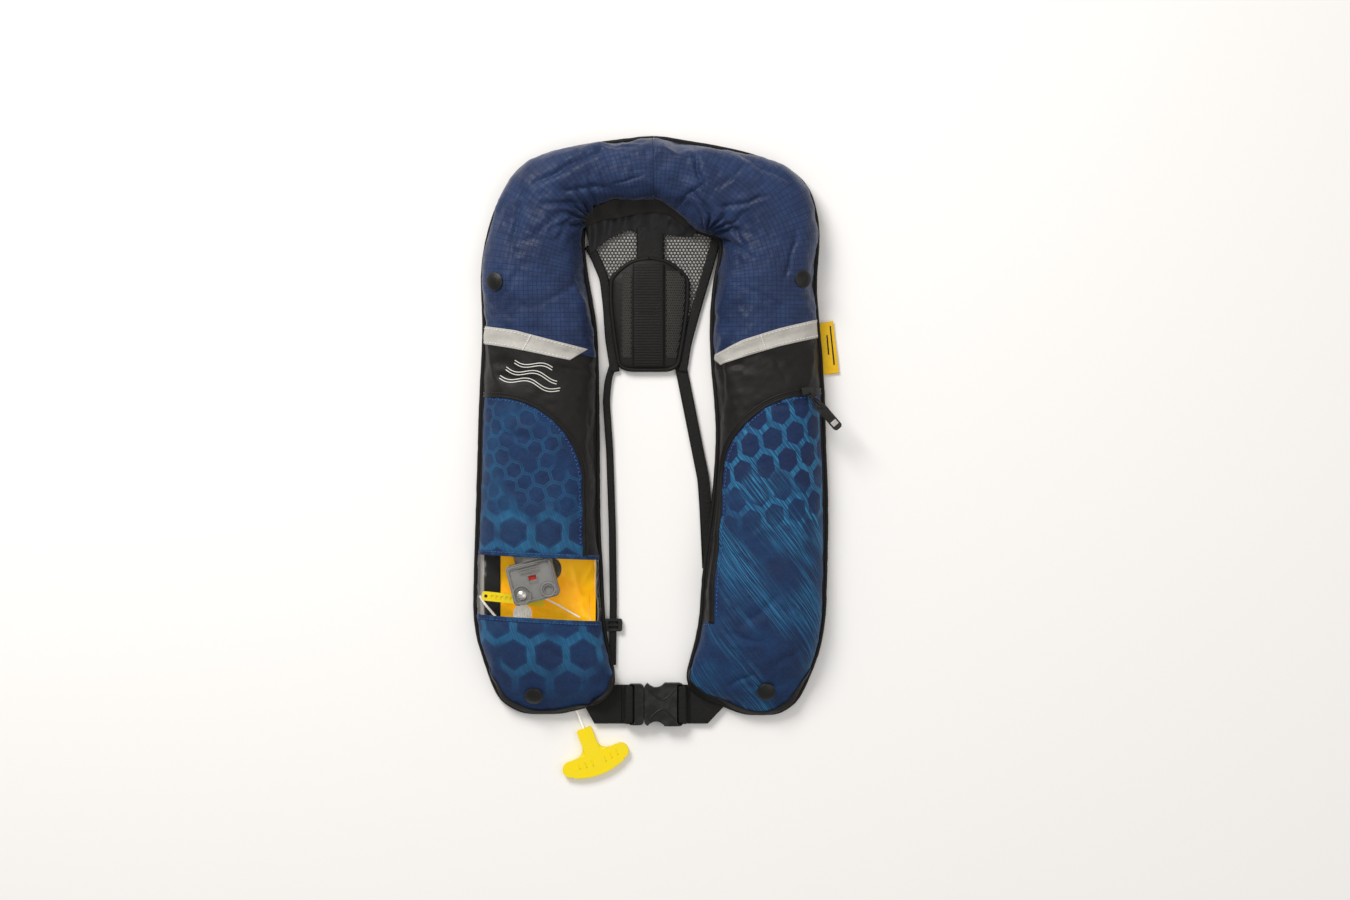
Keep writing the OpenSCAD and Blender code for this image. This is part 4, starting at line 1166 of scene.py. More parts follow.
for name in SIDES:
    reflective_strip(name)
    zip_tape(name)
hem("hem_above_window", HEM_TOP, -165.5, -52.5, 1)
hem("hem_below_window", HEM_LOW, -166.5, -50.5, -1)
seam("collar_centre_seam", "left", [(-0.4, 28.5), (-0.4, 10), (-0.4, -10), (-0.4, -27)], 0.5)
DARTS = {"left": [(-51.6, -4.8), (-48.5, -18), (-45, -33)], "right": [(46, -19.6), (36, -28), (27, -36)]}
for name, line in DARTS.items():
    seam("collar_dart_" + name, name, line, 0.2)
step = np.stack([np.linspace(56, 46, 12), np.full(12, STEP_Y - 2.4)], 1)
step_thread = stitches("step_stitches_right", *laid("right", step, 0.3), 2.3, 1.3, 0.42, 0.3)
dress(step_thread, "blue_thread", "fronts")


def wave_motif():
    """Embroidered emblem of three plain waves in one slanted outline, on the left chest."""
    centre, tilt, half_w = np.array([-115.0, -196.0]), math.radians(-13), 29.0
    parts = []
    for row, (offset, share) in enumerate(((8.5, 0.62), (0.0, 0.86), (-8.5, 1.0))):
        xs = np.linspace(-half_w * share, half_w * share, 90)
        for gap in (0.0, 2.6):
            ys = offset + gap + 2.6 * np.sin(xs / 6.2 + row * 0.9)
            path, normals = laid("left", np.column_stack(turned_plan(xs, ys, tilt)) + centre, 0.25)
            parts.append(tube("t", path, 0.42, 6, 0.7))
    dress(joined("wave_motif_left", parts), "white_thread", "fold")


wave_motif()


# ==== piping, backs ====
def eased(v):
    v = np.clip(v, 0, 1)
    return v ** 2 * (3 - 2 * v)


def half_outline(name, inset, z):
    """The rim of one half of the jacket, from the crown round the outside and back up to the neck.
    It rises where a belt passes under it, over the plug's tunnel on the left."""
    c, f = collar[name], front[name]

    def edge(dome, t, outer):
        inner_r, outer_r, _ = dome.section(t)
        r = outer_r - inset if outer else inner_r + inset
        cx, cy, dx, dy = dome.plane(t)
        return np.stack([cx + dx * r, cy + dy * r], -1)
    c_t = np.concatenate([np.linspace(0.2, 90, 40), np.linspace(94, 155, 16)])
    f_t = np.concatenate([np.linspace(178, 480, 70), np.linspace(484, f.table[-1, 0] - 1.2, 18)])
    plan = np.concatenate([edge(c, c_t, True), edge(f, f_t, True),
                           edge(f, f_t[::-1], False), edge(c, c_t[::-1], False)])
    plan = smoothed(resampled(plan, 2.5), 8)
    plan[0, 0] = plan[-1, 0] = 0.0
    zs = np.full(len(plan), float(z))
    over_belt = eased((66 - np.abs(plan[:, 0])) / 14) * eased((-474 - plan[:, 1]) / 9)
    rise = TUNNEL[2] + 2.4 - z if name == "left" else 4.2
    return np.column_stack([plan, zs + over_belt * rise])


def piping(name):
    """Round cord along the rim, with the folded lip that it is sewn into."""
    path = half_outline(name, PIPING_R - 0.3, PIPING_Z)
    wobble = 1 + 0.07 * middling(path[:, 0] * 2, path[:, 1] * 2) + 0.03 * fine(path[:, 0], path[:, 1])
    cord = tube("t", path, PIPING_R * wobble, 12)
    lip = half_outline(name, PIPING_R + 2.2, PIPING_Z + 2.6)
    fold = tube("t", lip, 1.5 * (1 + 0.07 * middling(lip[:, 0] * 2, lip[:, 1] * 2)), 8, 1.2)
    nodes = ["piping_" + name] + (["collar_piping"] if name == "left" else [])
    dress(joined("piping_loop_" + name, [cord, fold]), "piping", "fold", *nodes)


BACK_INSET = 3.2                                   # the back fabric ends this far inside the rim
BACK_TOP_Z = 2.3


def back_panel(name):
    """The back fabric of one half: an upper and a lower sheet, and the wall that joins them."""
    c, f = collar[name], front[name]
    shares = np.linspace(0, 1, 15)
    rows = []
    for dome, ts in ((c, np.concatenate([np.linspace(0.2, 90, 44), np.linspace(94, 160, 18)])),
                     (f, np.linspace(176, f.table[-1, 0] - 3.5, 100))):
        for t in ts:
            inner, outer, _ = dome.section(t)
            cx, cy, dx, dy = dome.plane(t)
            first, last = outer - BACK_INSET, inner + BACK_INSET
            if name == "left" and t > -TUNNEL[1] - 1 and dome is f:
                last = max(last, -TUNNEL[0] + 1.5)
            r = first + (last - first) * shares
            rows.append(np.stack([cx + dx * r, cy + dy * r, 0 * r], -1))
    points = np.array(rows)
    x, y = points[..., 0], points[..., 1]
    puff = np.sin(np.pi * shares)[None] ** 0.5
    points[..., 2] = BACK_TOP_Z + 0.5 * puff * broad(x, y)
    lower = points.copy()
    lower[..., 2] = 0.12 + 0.22 * (1 - puff) + 0.12 * (1 + middling(x, y)) * puff
    up = sheet("t", points, points[..., :2])
    down = sheet("t", lower, lower[..., :2])
    down.data.flip_normals()
    n, m = x.shape
    rim = [(0, j) for j in range(m)] + [(i, m - 1) for i in range(1, n)] \
        + [(n - 1, j) for j in range(m - 2, -1, -1)] + [(i, 0) for i in range(n - 2, 0, -1)]
    ring = np.array([[points[p], lower[p]] for p in rim] + [[points[rim[0]], lower[rim[0]]]])
    wall = new_piece("t", ring.reshape(-1, 3), grid_faces(len(rim) + 1, 2), ring.reshape(-1, 3)[:, :2])
    whole = joined("back_panel_" + name, [up, down, wall], 0.01)
    outward(whole)
    nodes = ["back_" + name] + (["collar_back"] if name == "left" else [])
    dress(whole, "black_fabric", "fold", *nodes)


for name in SIDES:
    piping(name)
    back_panel(name)


# ==== neck, yoke and pad ====
def between_lines(name, top, bottom, cols, rows, z, look, gathers_mm, folds):
    """A soft sheet between a top and a bottom edge in plan, gathered along its length."""
    a, b = plan_lerp(top, np.linspace(0, 1, cols)), plan_lerp(bottom, np.linspace(0, 1, cols))
    shares = np.linspace(0, 1, rows)[:, None]
    plan = a[None] * (1 - shares[..., None]) + b[None] * shares[..., None]
    x, y = plan[..., 0], plan[..., 1]
    wave = np.sin(np.linspace(0, folds * 2 * np.pi, cols)[None] + 1.6 * middling(x, y) + 0.8 * shares)
    height = z[0] + (z[1] - z[0]) * shares + gathers_mm * wave * np.sin(np.pi * (0.15 + 0.8 * shares)) \
        + 0.4 * fine(x, y)
    piece = sheet(name, np.stack([x, y, height], -1), plan)
    thickened(subdivided(piece, 1), 0.9)
    return dress(piece, look, "collar", name)


between_lines("neck_lining", [(-66, -50), (-46, -40), (-14, -34), (14, -38), (30, -50), (40, -58)],
              [(-60, -80), (-44, -66), (-24, -57), (-8, -62), (14, -62), (36, -64)],
              120, 20, (12, 5), "satin_lining", gathers_mm=1.3, folds=7)
between_lines("neck_tape", [(-70, -48), (-58, -37), (-42, -30), (-12, -25), (14, -27), (26, -36), (36, -50)],
              [(-66, -56), (-50, -49), (-34, -47), (-10, -42), (10, -42), (20, -47), (31, -57)],
              90, 9, (17, 11.5), "black_fabric", gathers_mm=0.6, folds=5)

YOKE_LEFT = [(-62, -72), (-56, -82), (-47, -104), (-44, -130), (-42, -160), (-37, -192)]
YOKE_RIGHT = [(60, -62), (55, -82), (46, -112), (38, -140), (31, -166), (27, -192)]


# corners of one netting cell, in units of its pitch
HEXAGON = np.array([(0, 0.667), (0.5, 0.333), (0.5, -0.333), (0, -0.667), (-0.5, -0.333), (-0.5, 0.333)])


def netting(centres, pitch, hole, dish, merge, thick):
    """Open netting: a six-sided ring of thread round each centre; dish lifts the inner edge of the ring."""
    points, faces = [], []
    for centre in centres:
        base = len(points)
        for size, lift in ((np.array(pitch), 0.0), (np.array(hole), dish)):
            points += [(*(centre[:2] + corner * size), centre[2] + lift) for corner in HEXAGON]
        faces += [[base + k, base + (k + 1) % 6, base + 6 + (k + 1) % 6, base + 6 + k] for k in range(6)]
    points = np.array(points)
    net = joined("t", [new_piece("t", points, faces, points[:, :2])], merge)
    return thickened(face_up(net), thick, 0.0)


def yoke_mesh():
    """Netting between the two slanted bindings of the yoke."""
    pitch_x, pitch_y, hole = 3.3, 2.9, 0.62
    centres = []
    left, right = np.array(YOKE_LEFT, float), np.array(YOKE_RIGHT, float)
    for row in range(int((192 - 56) / pitch_y)):
        y = -56 - row * pitch_y
        lo = np.interp(-y, -left[:, 1], left[:, 0])
        hi = np.interp(-y, -right[:, 1], right[:, 0])
        for col in range(-22, 23):
            x = (col + 0.5 * (row % 2)) * pitch_x
            if not lo + 2 < x < hi - 2:
                continue
            centres.append((x, y, 3.0 + 0.5 * float(broad(x, y))))
    net = netting(centres, (pitch_x, pitch_y), (pitch_x * hole, pitch_y * hole), 0.0, 0.05, 0.55)
    net.name = "yoke_netting"
    dress(net, "mesh_fabric", "collar", "yoke_mesh")


def edge_binding(name, line, width, z, look, node=None):
    """Binding or band of webbing along a line of the yoke, with thread near both edges."""
    path = smoothed(resampled(line, 2.0), 6)
    path = np.column_stack([path, z + 0.3 * middling(path[:, 0], path[:, 1])])
    up = flat_up(len(path))
    tape = ribbon("t", path, up, width, 2.2, cross=13)
    side = unit(np.cross(np.gradient(path, axis=0), up))
    dress(tape, look, "collar", *([node] if node else []))
    tape.name = name
    thread = [stitches("t", path + side * off + [0, 0, 1.1], up, 2.4, 1.5, 0.32)
              for off in (-width * 0.34, width * 0.34)]
    dress(joined(name + "_thread", thread), "black_thread", "collar")


yoke_mesh()
edge_binding("yoke_binding_left", YOKE_LEFT, 9.0, 3.6, "webbing", "yoke_binding")
edge_binding("yoke_binding_right", YOKE_RIGHT, 9.0, 3.6, "webbing")
edge_binding("yoke_band_middle", [(-3.5, -54), (-3.5, -96)], 26, 5.4, "webbing")


PAD_TOP, PAD_BOTTOM, PAD_HALF = -84, -190, 36.5


def pad_outline():
    """Half-width of the back pad on each side of its middle line, by height."""
    ys = np.linspace(PAD_TOP, PAD_BOTTOM, 44)
    k = (PAD_TOP - ys) / (PAD_TOP - PAD_BOTTOM)
    narrowing = 1 - 0.26 * np.clip((k - 0.35) / 0.65, 0, 1) ** 1.4
    half = PAD_HALF * np.clip(k * 5.2, 0, 1) ** 0.45 * narrowing
    half = half * np.sqrt(np.clip((1.03 - k) * 16, 0, 1))
    middle = -4.0 - 1.2 * k
    return ys, half, middle


def back_pad():
    """Crowned back pad: swollen cloth with a bound edge, a ribbed band and netting insets."""
    ys, half, middle = pad_outline()
    shares = np.linspace(-1, 1, 26)
    x = middle[:, None] + half[:, None] * shares[None]
    y = np.broadcast_to(ys[:, None], x.shape)
    k = (ys[:, None] - ys[0]) / (ys[-1] - ys[0])
    dome_z = 6.6 * (1 - np.abs(shares[None]) ** 2.6) ** 0.6 * np.clip(np.sin(np.pi * k), 0, 1) ** 0.28
    piece = sheet("back_pad", np.stack([x, y, 4.6 + dome_z], -1), np.stack([x, y], -1))
    billowed(piece, 0.03, 2.0, 2.0)
    subdivided(piece, 2)
    wrinkled(piece, [[(-26, -120), (-20, -176), 0.8, 2.5], [(14, -110), (16, -172), 0.9, 2.6]], (), 0.4)
    skin = tree_of(piece)
    thickened(piece, 1.4)
    dress(piece, "black_fabric", "collar", "back_pad")
    rim_y = np.concatenate([ys, ys[::-1]])
    rim_x = np.concatenate([middle - half, (middle + half)[::-1]])
    rim = smoothed(resampled(np.column_stack([rim_x, rim_y, 0 * rim_x + 5.4]), 2.0), 3)
    rim = np.vstack([rim, rim[:1]])
    dress(tube("back_pad_binding", rim, 2.0, 10, 1.1), "piping", "collar")

    def on_pad(px, py, lift):
        z = np.array([height_at(skin, a, b) or 6.0 for a, b in zip(px, py)])
        return np.column_stack([px, py, z + lift])
    band_y = np.arange(-90, -187, -0.6)
    path = on_pad(np.full(len(band_y), -5.0), band_y, 0.7)
    path = smoothed(path, 4)
    up = flat_up(len(path))
    dress(ribbon("pad_webbing_band", path, up, 30, 1.3, 0.42, 2.6, 15), "webbing", "collar", "pad_webbing")
    rows = []
    for y_row in (-118, -121.5, -132, -135.5):
        xs = np.linspace(-15, 6, 24)
        rows.append(stitches("t", on_pad(xs, np.full(24, y_row), 1.9), flat_up(24), 1.8, 1, 0.3))
    dress(joined("pad_band_stitches", rows), "black_thread", "collar")
    pitch_x, pitch_y = 2.1, 2.4
    margin, band_left, band_right = 3.4, -21.5, 12.4
    centres = []
    for row in range(34):
        for col in range(-20, 10):
            px, py = 12.5 + (col + 0.5 * (row % 2)) * pitch_x, -98 - row * pitch_y
            right = np.interp(-py, -ys, middle + half) - margin
            left = np.interp(-py, -ys, middle - half) + margin
            if band_right <= px < right or left < px < band_left:
                centres.append((px, py, (height_at(skin, px, py) or 6.0) + 0.55))
    net = netting(centres, (pitch_x, pitch_y), (1.2, 1.35), 0.25, 0.05, 0.4)
    net.name = "pad_net"
    dress(net, "mesh_fabric", "collar")


back_pad()


# ==== straps, belts and tag ====
def strap(name, plan, width):
    """A back strap: woven webbing that starts under the yoke and ends inside a front."""
    path = smoothed(resampled(plan, 1.2), 20)
    slack = 0.35 * middling(path[:, 0], path[:, 1] * 0.6)
    path = np.column_stack([path, STRAP_Z + slack])
    tilt = 0.12 * broad(path[:, 0], path[:, 1])
    up = np.column_stack([tilt, 0 * tilt, 1 + 0 * tilt])
    band = ribbon("t", path, up, width, 1.5, 0.22, 2.4, 13)
    edges = [tube("t", path + np.array([side * width * 0.43, 0, 0.35]), 0.7, 6) for side in (-1, 1)]
    dress(joined(name + "_webbing", [band] + edges), "webbing", "fold", name)


STRAP_Z = (low("strap_right")[2] + high("strap_right")[2]) / 2
strap("strap_left", [(-38.5, -184), (-43.5, -200), (-45.2, -220), (-42, -266), (-39.5, -340), (-38.5, -408),
                     (-39.3, -470)], 6.4)
strap("strap_right", [(24, -178), (27, -194), (37, -244), (47, -294), (49, -323), (51.5, -378)], 11.5)

BELT_Y = (low("belt_right")[1] + high("belt_right")[1]) / 2
BELT_W = high("belt_right")[1] - low("belt_right")[1]
WEB_T = 1.5
belt_low = low("belt_right")[2] + WEB_T / 2
belt_top = high("belt_right")[2] - WEB_T / 2


def belt_path(points):
    """A path and its normals from (x, z) points in the belts' middle plane."""
    flat = smoothed(resampled(points, 0.8), 2)
    path = np.column_stack([flat[:, 0], np.full(len(flat), BELT_Y), flat[:, 1]])
    tangent = np.gradient(path, axis=0)
    normals = np.column_stack([tangent[:, 2], 0 * tangent[:, 0], -tangent[:, 0]])
    return path, normals


def belt_loop(name, bar_x, out):
    """Webbing turned round the bar of the buckle and sewn back on itself."""
    inner, outer = bar_x + out * 1.4, bar_x - out * 5.0
    turn = out * 0.8
    path, normals = belt_path([
        (bar_x + out * 6.0, belt_low), (outer, belt_low), (outer - turn, belt_low + 0.9),
        (outer - turn, belt_top - 0.9), (outer, belt_top), (inner, belt_top),
        (inner + turn, belt_top - 0.9), (inner + turn, belt_low + 1.8)])
    return ribbon(name, path, normals * -out, BELT_W, WEB_T, 0.4, 2.2, 27)


BELT_SLANT = {True: 0.55, False: 0.95}             # slope of the cut end, on the left and on the right


def belt_run(name, x0, x1):
    """A flat stretch of belt from under a front to the buckle."""
    path, normals = belt_path([(x0, belt_low), (x1, belt_low)])
    run = ribbon("t", path, normals * np.sign(x0 - x1), BELT_W, WEB_T, 0.4, 2.2, 27)
    lips = [tube("t", path + np.array([0, s * (BELT_W / 2 - 0.8), 0.25]), 0.75, 8) for s in (-1, 1)]
    whole = joined(name, [run] + lips)
    co = coordinates(whole)      # the end is cut on a slant, under the front
    slant = np.clip(BELT_Y + 4 - co[:, 1], 0, None) * BELT_SLANT[x0 < 0]
    co[:, 0] = np.maximum(co[:, 0], x0 + slant) if x0 < 0 else np.minimum(co[:, 0], x0 - slant)
    set_coordinates(whole, co)
    return whole


SOCKET_BAR, PLUG_BAR = low("belt_right")[0] + 5.8, high("belt_left")[0] - 5.8
dress(joined("belt_right_webbing", [belt_loop("t", SOCKET_BAR, 1),
                                    belt_run("t", high("belt_right")[0], SOCKET_BAR + 5.5)]),
      "webbing", "fronts", "belt_right")
dress(belt_loop("belt_left_loop", PLUG_BAR, -1), "webbing", "plug", "belt_left")
left_run = belt_run("belt_left_run", low("belt_left")[0], PLUG_BAR - 5.5)
left_run.data.materials.append(LOOKS["webbing"].material)
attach(left_run, "fronts")
low("belt_left")[0] * MM
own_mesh(left_run)


TAG_CORNERS = [(155, -146.5), (170, -143.5), (158, -195.0), (175.6, -193)]


def tag():
    """Yellow side tag sewn in under the piping, with two plain printed bars."""
    down, over = np.linspace(0, 1, 25)[:, None], np.linspace(0, 1, 13)[None]
    weights = [(1 - over) * (1 - down), over * (1 - down), (1 - over) * down, over * down]
    x, y = (sum(w * corner[k] for w, corner in zip(weights, TAG_CORNERS)) for k in (0, 1))
    plan = np.stack([x, y], -1)
    z = 2.9 + 0.35 * np.sin(y / 6.0) * np.clip((x - 164) / 8, 0, 1)
    piece = sheet("side_tag", np.stack([x, y, z], -1), plan)
    thickened(subdivided(piece, 1), 0.8)
    dress(piece, "tag_fabric", "collar", "yellow_tag")
    bars = []      # two plain bars stand for the printed lines
    for rows, cols in ((slice(6, 16), slice(6, 8)), (slice(2, 21), slice(9, 11))):
        bar = np.stack([x[rows, cols], y[rows, cols], z[rows, cols] + 0.12], -1)
        bars.append(thickened(sheet("t", bar, bar[..., :2]), 0.15))
    dress(joined("side_tag_bars", bars), "black_thread", "collar")
    edge = np.stack([x[1:-1, -2], y[1:-1, -2], z[1:-1, -2] + 0.1], -1)
    edge = resampled(edge, 1.0)
    thread = stitches("side_tag_stitches", edge, flat_up(len(edge)), 2.0, 1.2, 0.25)
    dress(thread, "tag_fabric", "collar")


tag()


# ==== bladders ====
def inner_bladder(name):
    """The folded bladder inside a half: closed, and well under the cover."""
    shares = np.linspace(0.14, 0.86, 16)
    under_cover, least_top, base_z = -7.5, 6.0, 3.4
    rows = []
    for dome, ts in ((collar[name], np.linspace(2, 150, 50)), (front[name], np.linspace(178, 325, 50))):
        for t in ts:
            top = dome.point(t, shares, lift=under_cover)
            base = top[::-1].copy()
            top[:, 2] = np.maximum(top[:, 2], least_top)
            base[:, 2] = base_z
            rows.append(np.concatenate([top, base]))
    points = np.array(rows)
    n, m = points.shape[:2]
    piece = new_piece("inner_bladder_" + name, points.reshape(-1, 3), tube_faces(n, m),
                      points[..., :2].reshape(-1, 2))
    outward(piece)
    nodes = ["bladder_" + name] + (["collar_bladder"] if name == "left" else [])
    dress(piece, "bladder_fabric", "fold", *nodes)


for name in SIDES:
    inner_bladder(name)


WINDOW_CREASES = [
    [(-78, -372), (-66, -420), 2.0, 3.0], [(-140, -414), (-96, -422), 1.6, 3.2],
    [(-70, -398), (-58, -376), 1.8, 2.6], [(-96, -418), (-74, -410), 1.2, 2.4]]
# strips at the window's outer side, as name, x from and to, z from and to, look
WINDOW_STRIPS = [("window_lining", -161.5, -145.5, 4.2, 5.2, "satin_lining"),
                 ("window_pale_strip", -166.8, -161.0, 5.2, 4.4, "lining_white")]


def window_bladder():
    """Slack bladder seen through the window, rising at its inner side, with the two strips beside it."""
    left, right, top, bottom = -147, -55.5, -354, -438
    x, y = np.meshgrid(np.linspace(left, right, 90), np.linspace(top, bottom, 80))
    inside = np.clip((top - y) / 10, 0, 1) * np.clip((y - bottom) / 10, 0, 1)
    rise = 9.0 * np.clip((x + 74) / 20, 0, 1) ** 1.5 * inside
    ends = 2.0 * (np.clip((y + 368) / 20, 0, 1) + np.clip((-422 - y) / 20, 0, 1)) ** 1.3
    pucker = 1.0 * middling(x * 0.8, y * 1.4) + 0.5 * fine(x, y) + 0.8 * broad(y, x)
    for c in WINDOW_CREASES:
        pucker = pucker + crease(x, y, *c)
    z = 4.6 + np.clip(pucker, -1.1, 2.0) * np.clip((x + 150) / 8, 0, 1) + rise + ends
    piece = sheet("bladder_in_window", np.stack([x, y, z], -1), np.stack([x, y], -1))
    dress(thickened(subdivided(piece, 1), 0.8), "bladder_fabric", "fronts")
    y = np.linspace(-350, -440, 60)
    for label, x0, x1, z0, z1, look in WINDOW_STRIPS:
        share = np.linspace(0, 1, 8)[None]
        gx = x0 + (x1 - x0) * share + 0 * y[:, None]
        gy = y[:, None] + 0 * gx
        gz = z0 + (z1 - z0) * share + 0.5 * middling(gx, gy) + 0.35 * np.sin(gy / 5.0 + gx / 7)
        strip = sheet(label, np.stack([gx, gy, gz], -1), np.stack([gx, gy], -1))
        dress(thickened(subdivided(strip, 1), 0.7), look, "fronts")


window_bladder()


def cord(name, points, radius):
    """A pale twisted cord through a few points."""
    path = smoothed(resampled(points, 1.0), 8)
    twist = 1 + 0.10 * np.cos(np.arange(len(path)) * 2.1)
    dress(tube(name, path, radius * twist), "pale_cord", "fronts")


cord("window_cord_long", [(-104.5, -406, 9), (-92, -412, 10.5), (-80, -419, 12), (-70, -424.5, 14)], 0.8)
cord("window_cord_short", [(-165, -404, 8), (-161, -411, 8.4), (-155, -418, 8), (-150, -424, 8)], 1.2)


def slotted_button(cx, cy, z, radius):
    """Pale dished cap with slots, behind the lower edge of the window."""
    dish = [(0.3, 2.3), (0.62, 2.2), (0.74, 1.5), (0.84, 2.1), (0.95, 1.7), (1.0, 0.8), (1.0, 0.0)]
    middle_height, sides, n = 2.2, 48, len(dish)
    a = np.linspace(0, 2 * np.pi, sides, endpoint=False)
    ring = np.stack([np.cos(a), np.sin(a)], -1)
    points = [raised(ring * share * radius + [cx, cy], z + height) for share, height in dish]
    points = np.concatenate(points + [[[cx, cy, z + middle_height]]])
    faces = [list(f) for f in grid_faces(n, sides, wrap=True)]
    faces += [[n * sides, k, (k + 1) % sides] for k in range(sides)]
    faces += [[(n - 1) * sides + k for k in range(sides)]]
    disc = new_piece("t", points, faces, points[:, :2])
    outward(disc)
    ribs = []
    for k in range(-2, 3):
        x = cx + k * radius * 0.26
        h = radius * 0.55 * math.sqrt(1 - (k / 3) ** 2)
        ribs.append(tube("t", [(x, cy - h, z + 2.3), (x, cy - h * 0.3, z + 2.5), (x, cy + h * 0.3, z + 2.5),
                               (x, cy + h, z + 2.3)], 0.65, 8, 0.8))
    dress(joined("slotted_button", [disc] + ribs), "pale_cord", "fronts")


slotted_button(-124.5, -421, 7.2, 9.0)


# ==== hardware details ====
PULL_EXIT = np.array([-73.0, -514.0, 3.1])         # where the cord leaves the front
PULL_TILT = math.radians(21)
STEM_TOP = -17.5                                   # the stem's upper end, measured along the handle


def handle_ridges():
    """Grip ridges moulded on the pull handle, on both sides of its stem."""
    lo, hi = low("pull_handle"), high("pull_handle")
    tree = cad_tree("pull_handle")
    middle = (lo + hi) / 2
    along = np.array([math.cos(PULL_TILT), math.sin(PULL_TILT)])
    up = np.array([-math.sin(PULL_TILT), math.cos(PULL_TILT)])
    ridges = []
    for k in (-3, -2, -1, 1, 2, 3):
        base = middle[:2] + along * (k * 6.4) - up * (8.5 - abs(k) * 0.9)
        plan = base[None] + up[None] * np.linspace(-3.4, 3.4, 9)[:, None]
        z = [height_at(tree, *p) for p in plan]
        if any(v is None for v in z):
            continue
        ridges.append(tube("t", np.column_stack([plan, np.array(z) - 0.15]), 0.75, 8))
    if ridges:
        dress(joined("pull_handle_ridges", ridges), "yellow_plastic", "handle")


def handle_fillets():
    """Webs that round the corners between the handle's stem and its bar."""
    webs = []
    stem, bar_top, r = 7.4, -24.5, 9.5
    for side in (-1, 1):
        a = np.radians(np.linspace(180, 270, 14))
        arc = np.column_stack([stem + r + r * np.cos(a), bar_top + r + r * np.sin(a)])
        sunk = 1.5                                  # how far the web reaches into the stem and the bar
        flat = np.vstack([[stem - sunk, bar_top + r], arc, [stem + r, bar_top - sunk],
                          [stem - sunk, bar_top - sunk]])
        flat = flat * [side, 1] + [0, STEM_TOP]
        plan = np.column_stack(turned_plan(flat[:, 0], flat[:, 1], PULL_TILT))
        n = len(plan)
        layers = [raised(plan + PULL_EXIT[:2], PULL_EXIT[2] + z) for z in (-2.7, 3.1)]
        points = np.concatenate(layers)
        web = outward(new_piece("t", points, tube_faces(2, n), points[:, :2]))
        for face in web.data.polygons:
            face.use_smooth = False
        webs.append(web)
    dress(joined("pull_handle_fillets", webs), "yellow_plastic", "handle")


def buckle_ridges():
    """Raised lines that cross on the buckle's upper face."""
    top = high("buckle_socket")[2]
    left, right = low("buckle_socket")[0] + 4, high("buckle_socket")[0] - 8
    xs = np.linspace(left, right, 30)
    k = (xs - left) / (right - left) * 2 - 1
    lines = []
    for side in (-1, 1):
        ys = BELT_Y + side * (4.5 + 10.5 * np.abs(k) ** 1.6)
        lines.append(tube("t", np.column_stack([xs, ys, 0 * xs + top - 0.1]), 0.9, 8, 0.6))
    dress(joined("buckle_ridges", lines), "black_plastic", "fronts")


def lower_band(name):
    """The black edge that shows under the print at the bottom of a front."""
    shares = np.linspace(0, 1, 600)
    deep, shallow = (plan_lerp(half_outline(name, inset, 0.0)[:, :2], shares) for inset in (7.0, 1.6))
    sink = np.clip((-470 - deep[:, 1]) / 42, 0, 1)[:, None]
    outline = shallow * (1 - sink) + deep * sink
    if name == "left":                              # fades into the piping before the buckle plug's tunnel
        fade = np.clip((outline[:, 0] - TUNNEL[0] + 22) / 14, 0, 1)[:, None]
        outline = outline * (1 - fade) + shallow * fade
        outline = outline[outline[:, 0] < TUNNEL[0] - 5]
    low_part = resampled(outline[outline[:, 1] < -472], 2.0)
    path, normals = laid(name, low_part, 0.25)
    path, normals = smoothed(path, 4), smoothed(normals, 4)
    dress(ribbon("lower_band_" + name, path, normals, 7.0, 1.1), "piping", "fronts")


handle_ridges()
handle_fillets()
buckle_ridges()
for name in SIDES:
    lower_band(name)
PIVOT = (-124.0, -402.4)                           # the lever's pivot in plan
INFLATOR_TURN = math.radians(14.5)


def on_inflator(u, v):
    """Plan point from a place on the inflator's face, measured from its pivot."""
    c, s = math.cos(INFLATOR_TURN), math.sin(INFLATOR_TURN)
    return PIVOT[0] + u * c - v * s, PIVOT[1] + u * s + v * c


def ring(u, v, z, r, thick):
    """A raised ring on the inflator's face."""
    a = np.linspace(0, 2 * np.pi, 40)
    plan = np.array([on_inflator(u + r * math.cos(k), v + r * math.sin(k)) for k in a])
    return tube("t", raised(plan, z), thick, 8, 0.7)


def inflator_details():
    """Moulded rims: round the pivot, the indicator and the body's edge, and a mouth at its lower corner."""
    top = high("inflator_body")[2]
    border = [(-7, -7), (33, -7), (33, 27), (-7, 27), (-7, -7)]
    frame_line = smoothed(resampled(np.array([on_inflator(*p) for p in border]), 1.0), 6)
    mouth = (25.5, -1.0)
    rims = [ring(0, 0, top - 0.1, 8.6, 0.7), ring(*mouth, top - 0.1, 6.4, 1.1),
            ring(*mouth, top - 0.1, 4.4, 0.5), tube("t", raised(frame_line, top - 0.2), 0.7, 8, 0.8)]
    box = [(9.6, 10.6), (17.8, 10.6), (17.8, 16.2), (9.6, 16.2), (9.6, 10.6)]
    line = resampled(np.array([on_inflator(*p) for p in box]), 0.8)
    rims.append(tube("t", raised(line, top), 0.4, 8, 0.8))
    for v in (20.5, 23.0, 25.5):
        line = resampled(np.array([on_inflator(2, v), on_inflator(22, v)]), 1.0)
        rims.append(tube("t", raised(line, top), 0.45, 8, 0.7))
    dress(joined("inflator_rims", rims), "grey_plastic", "fronts")


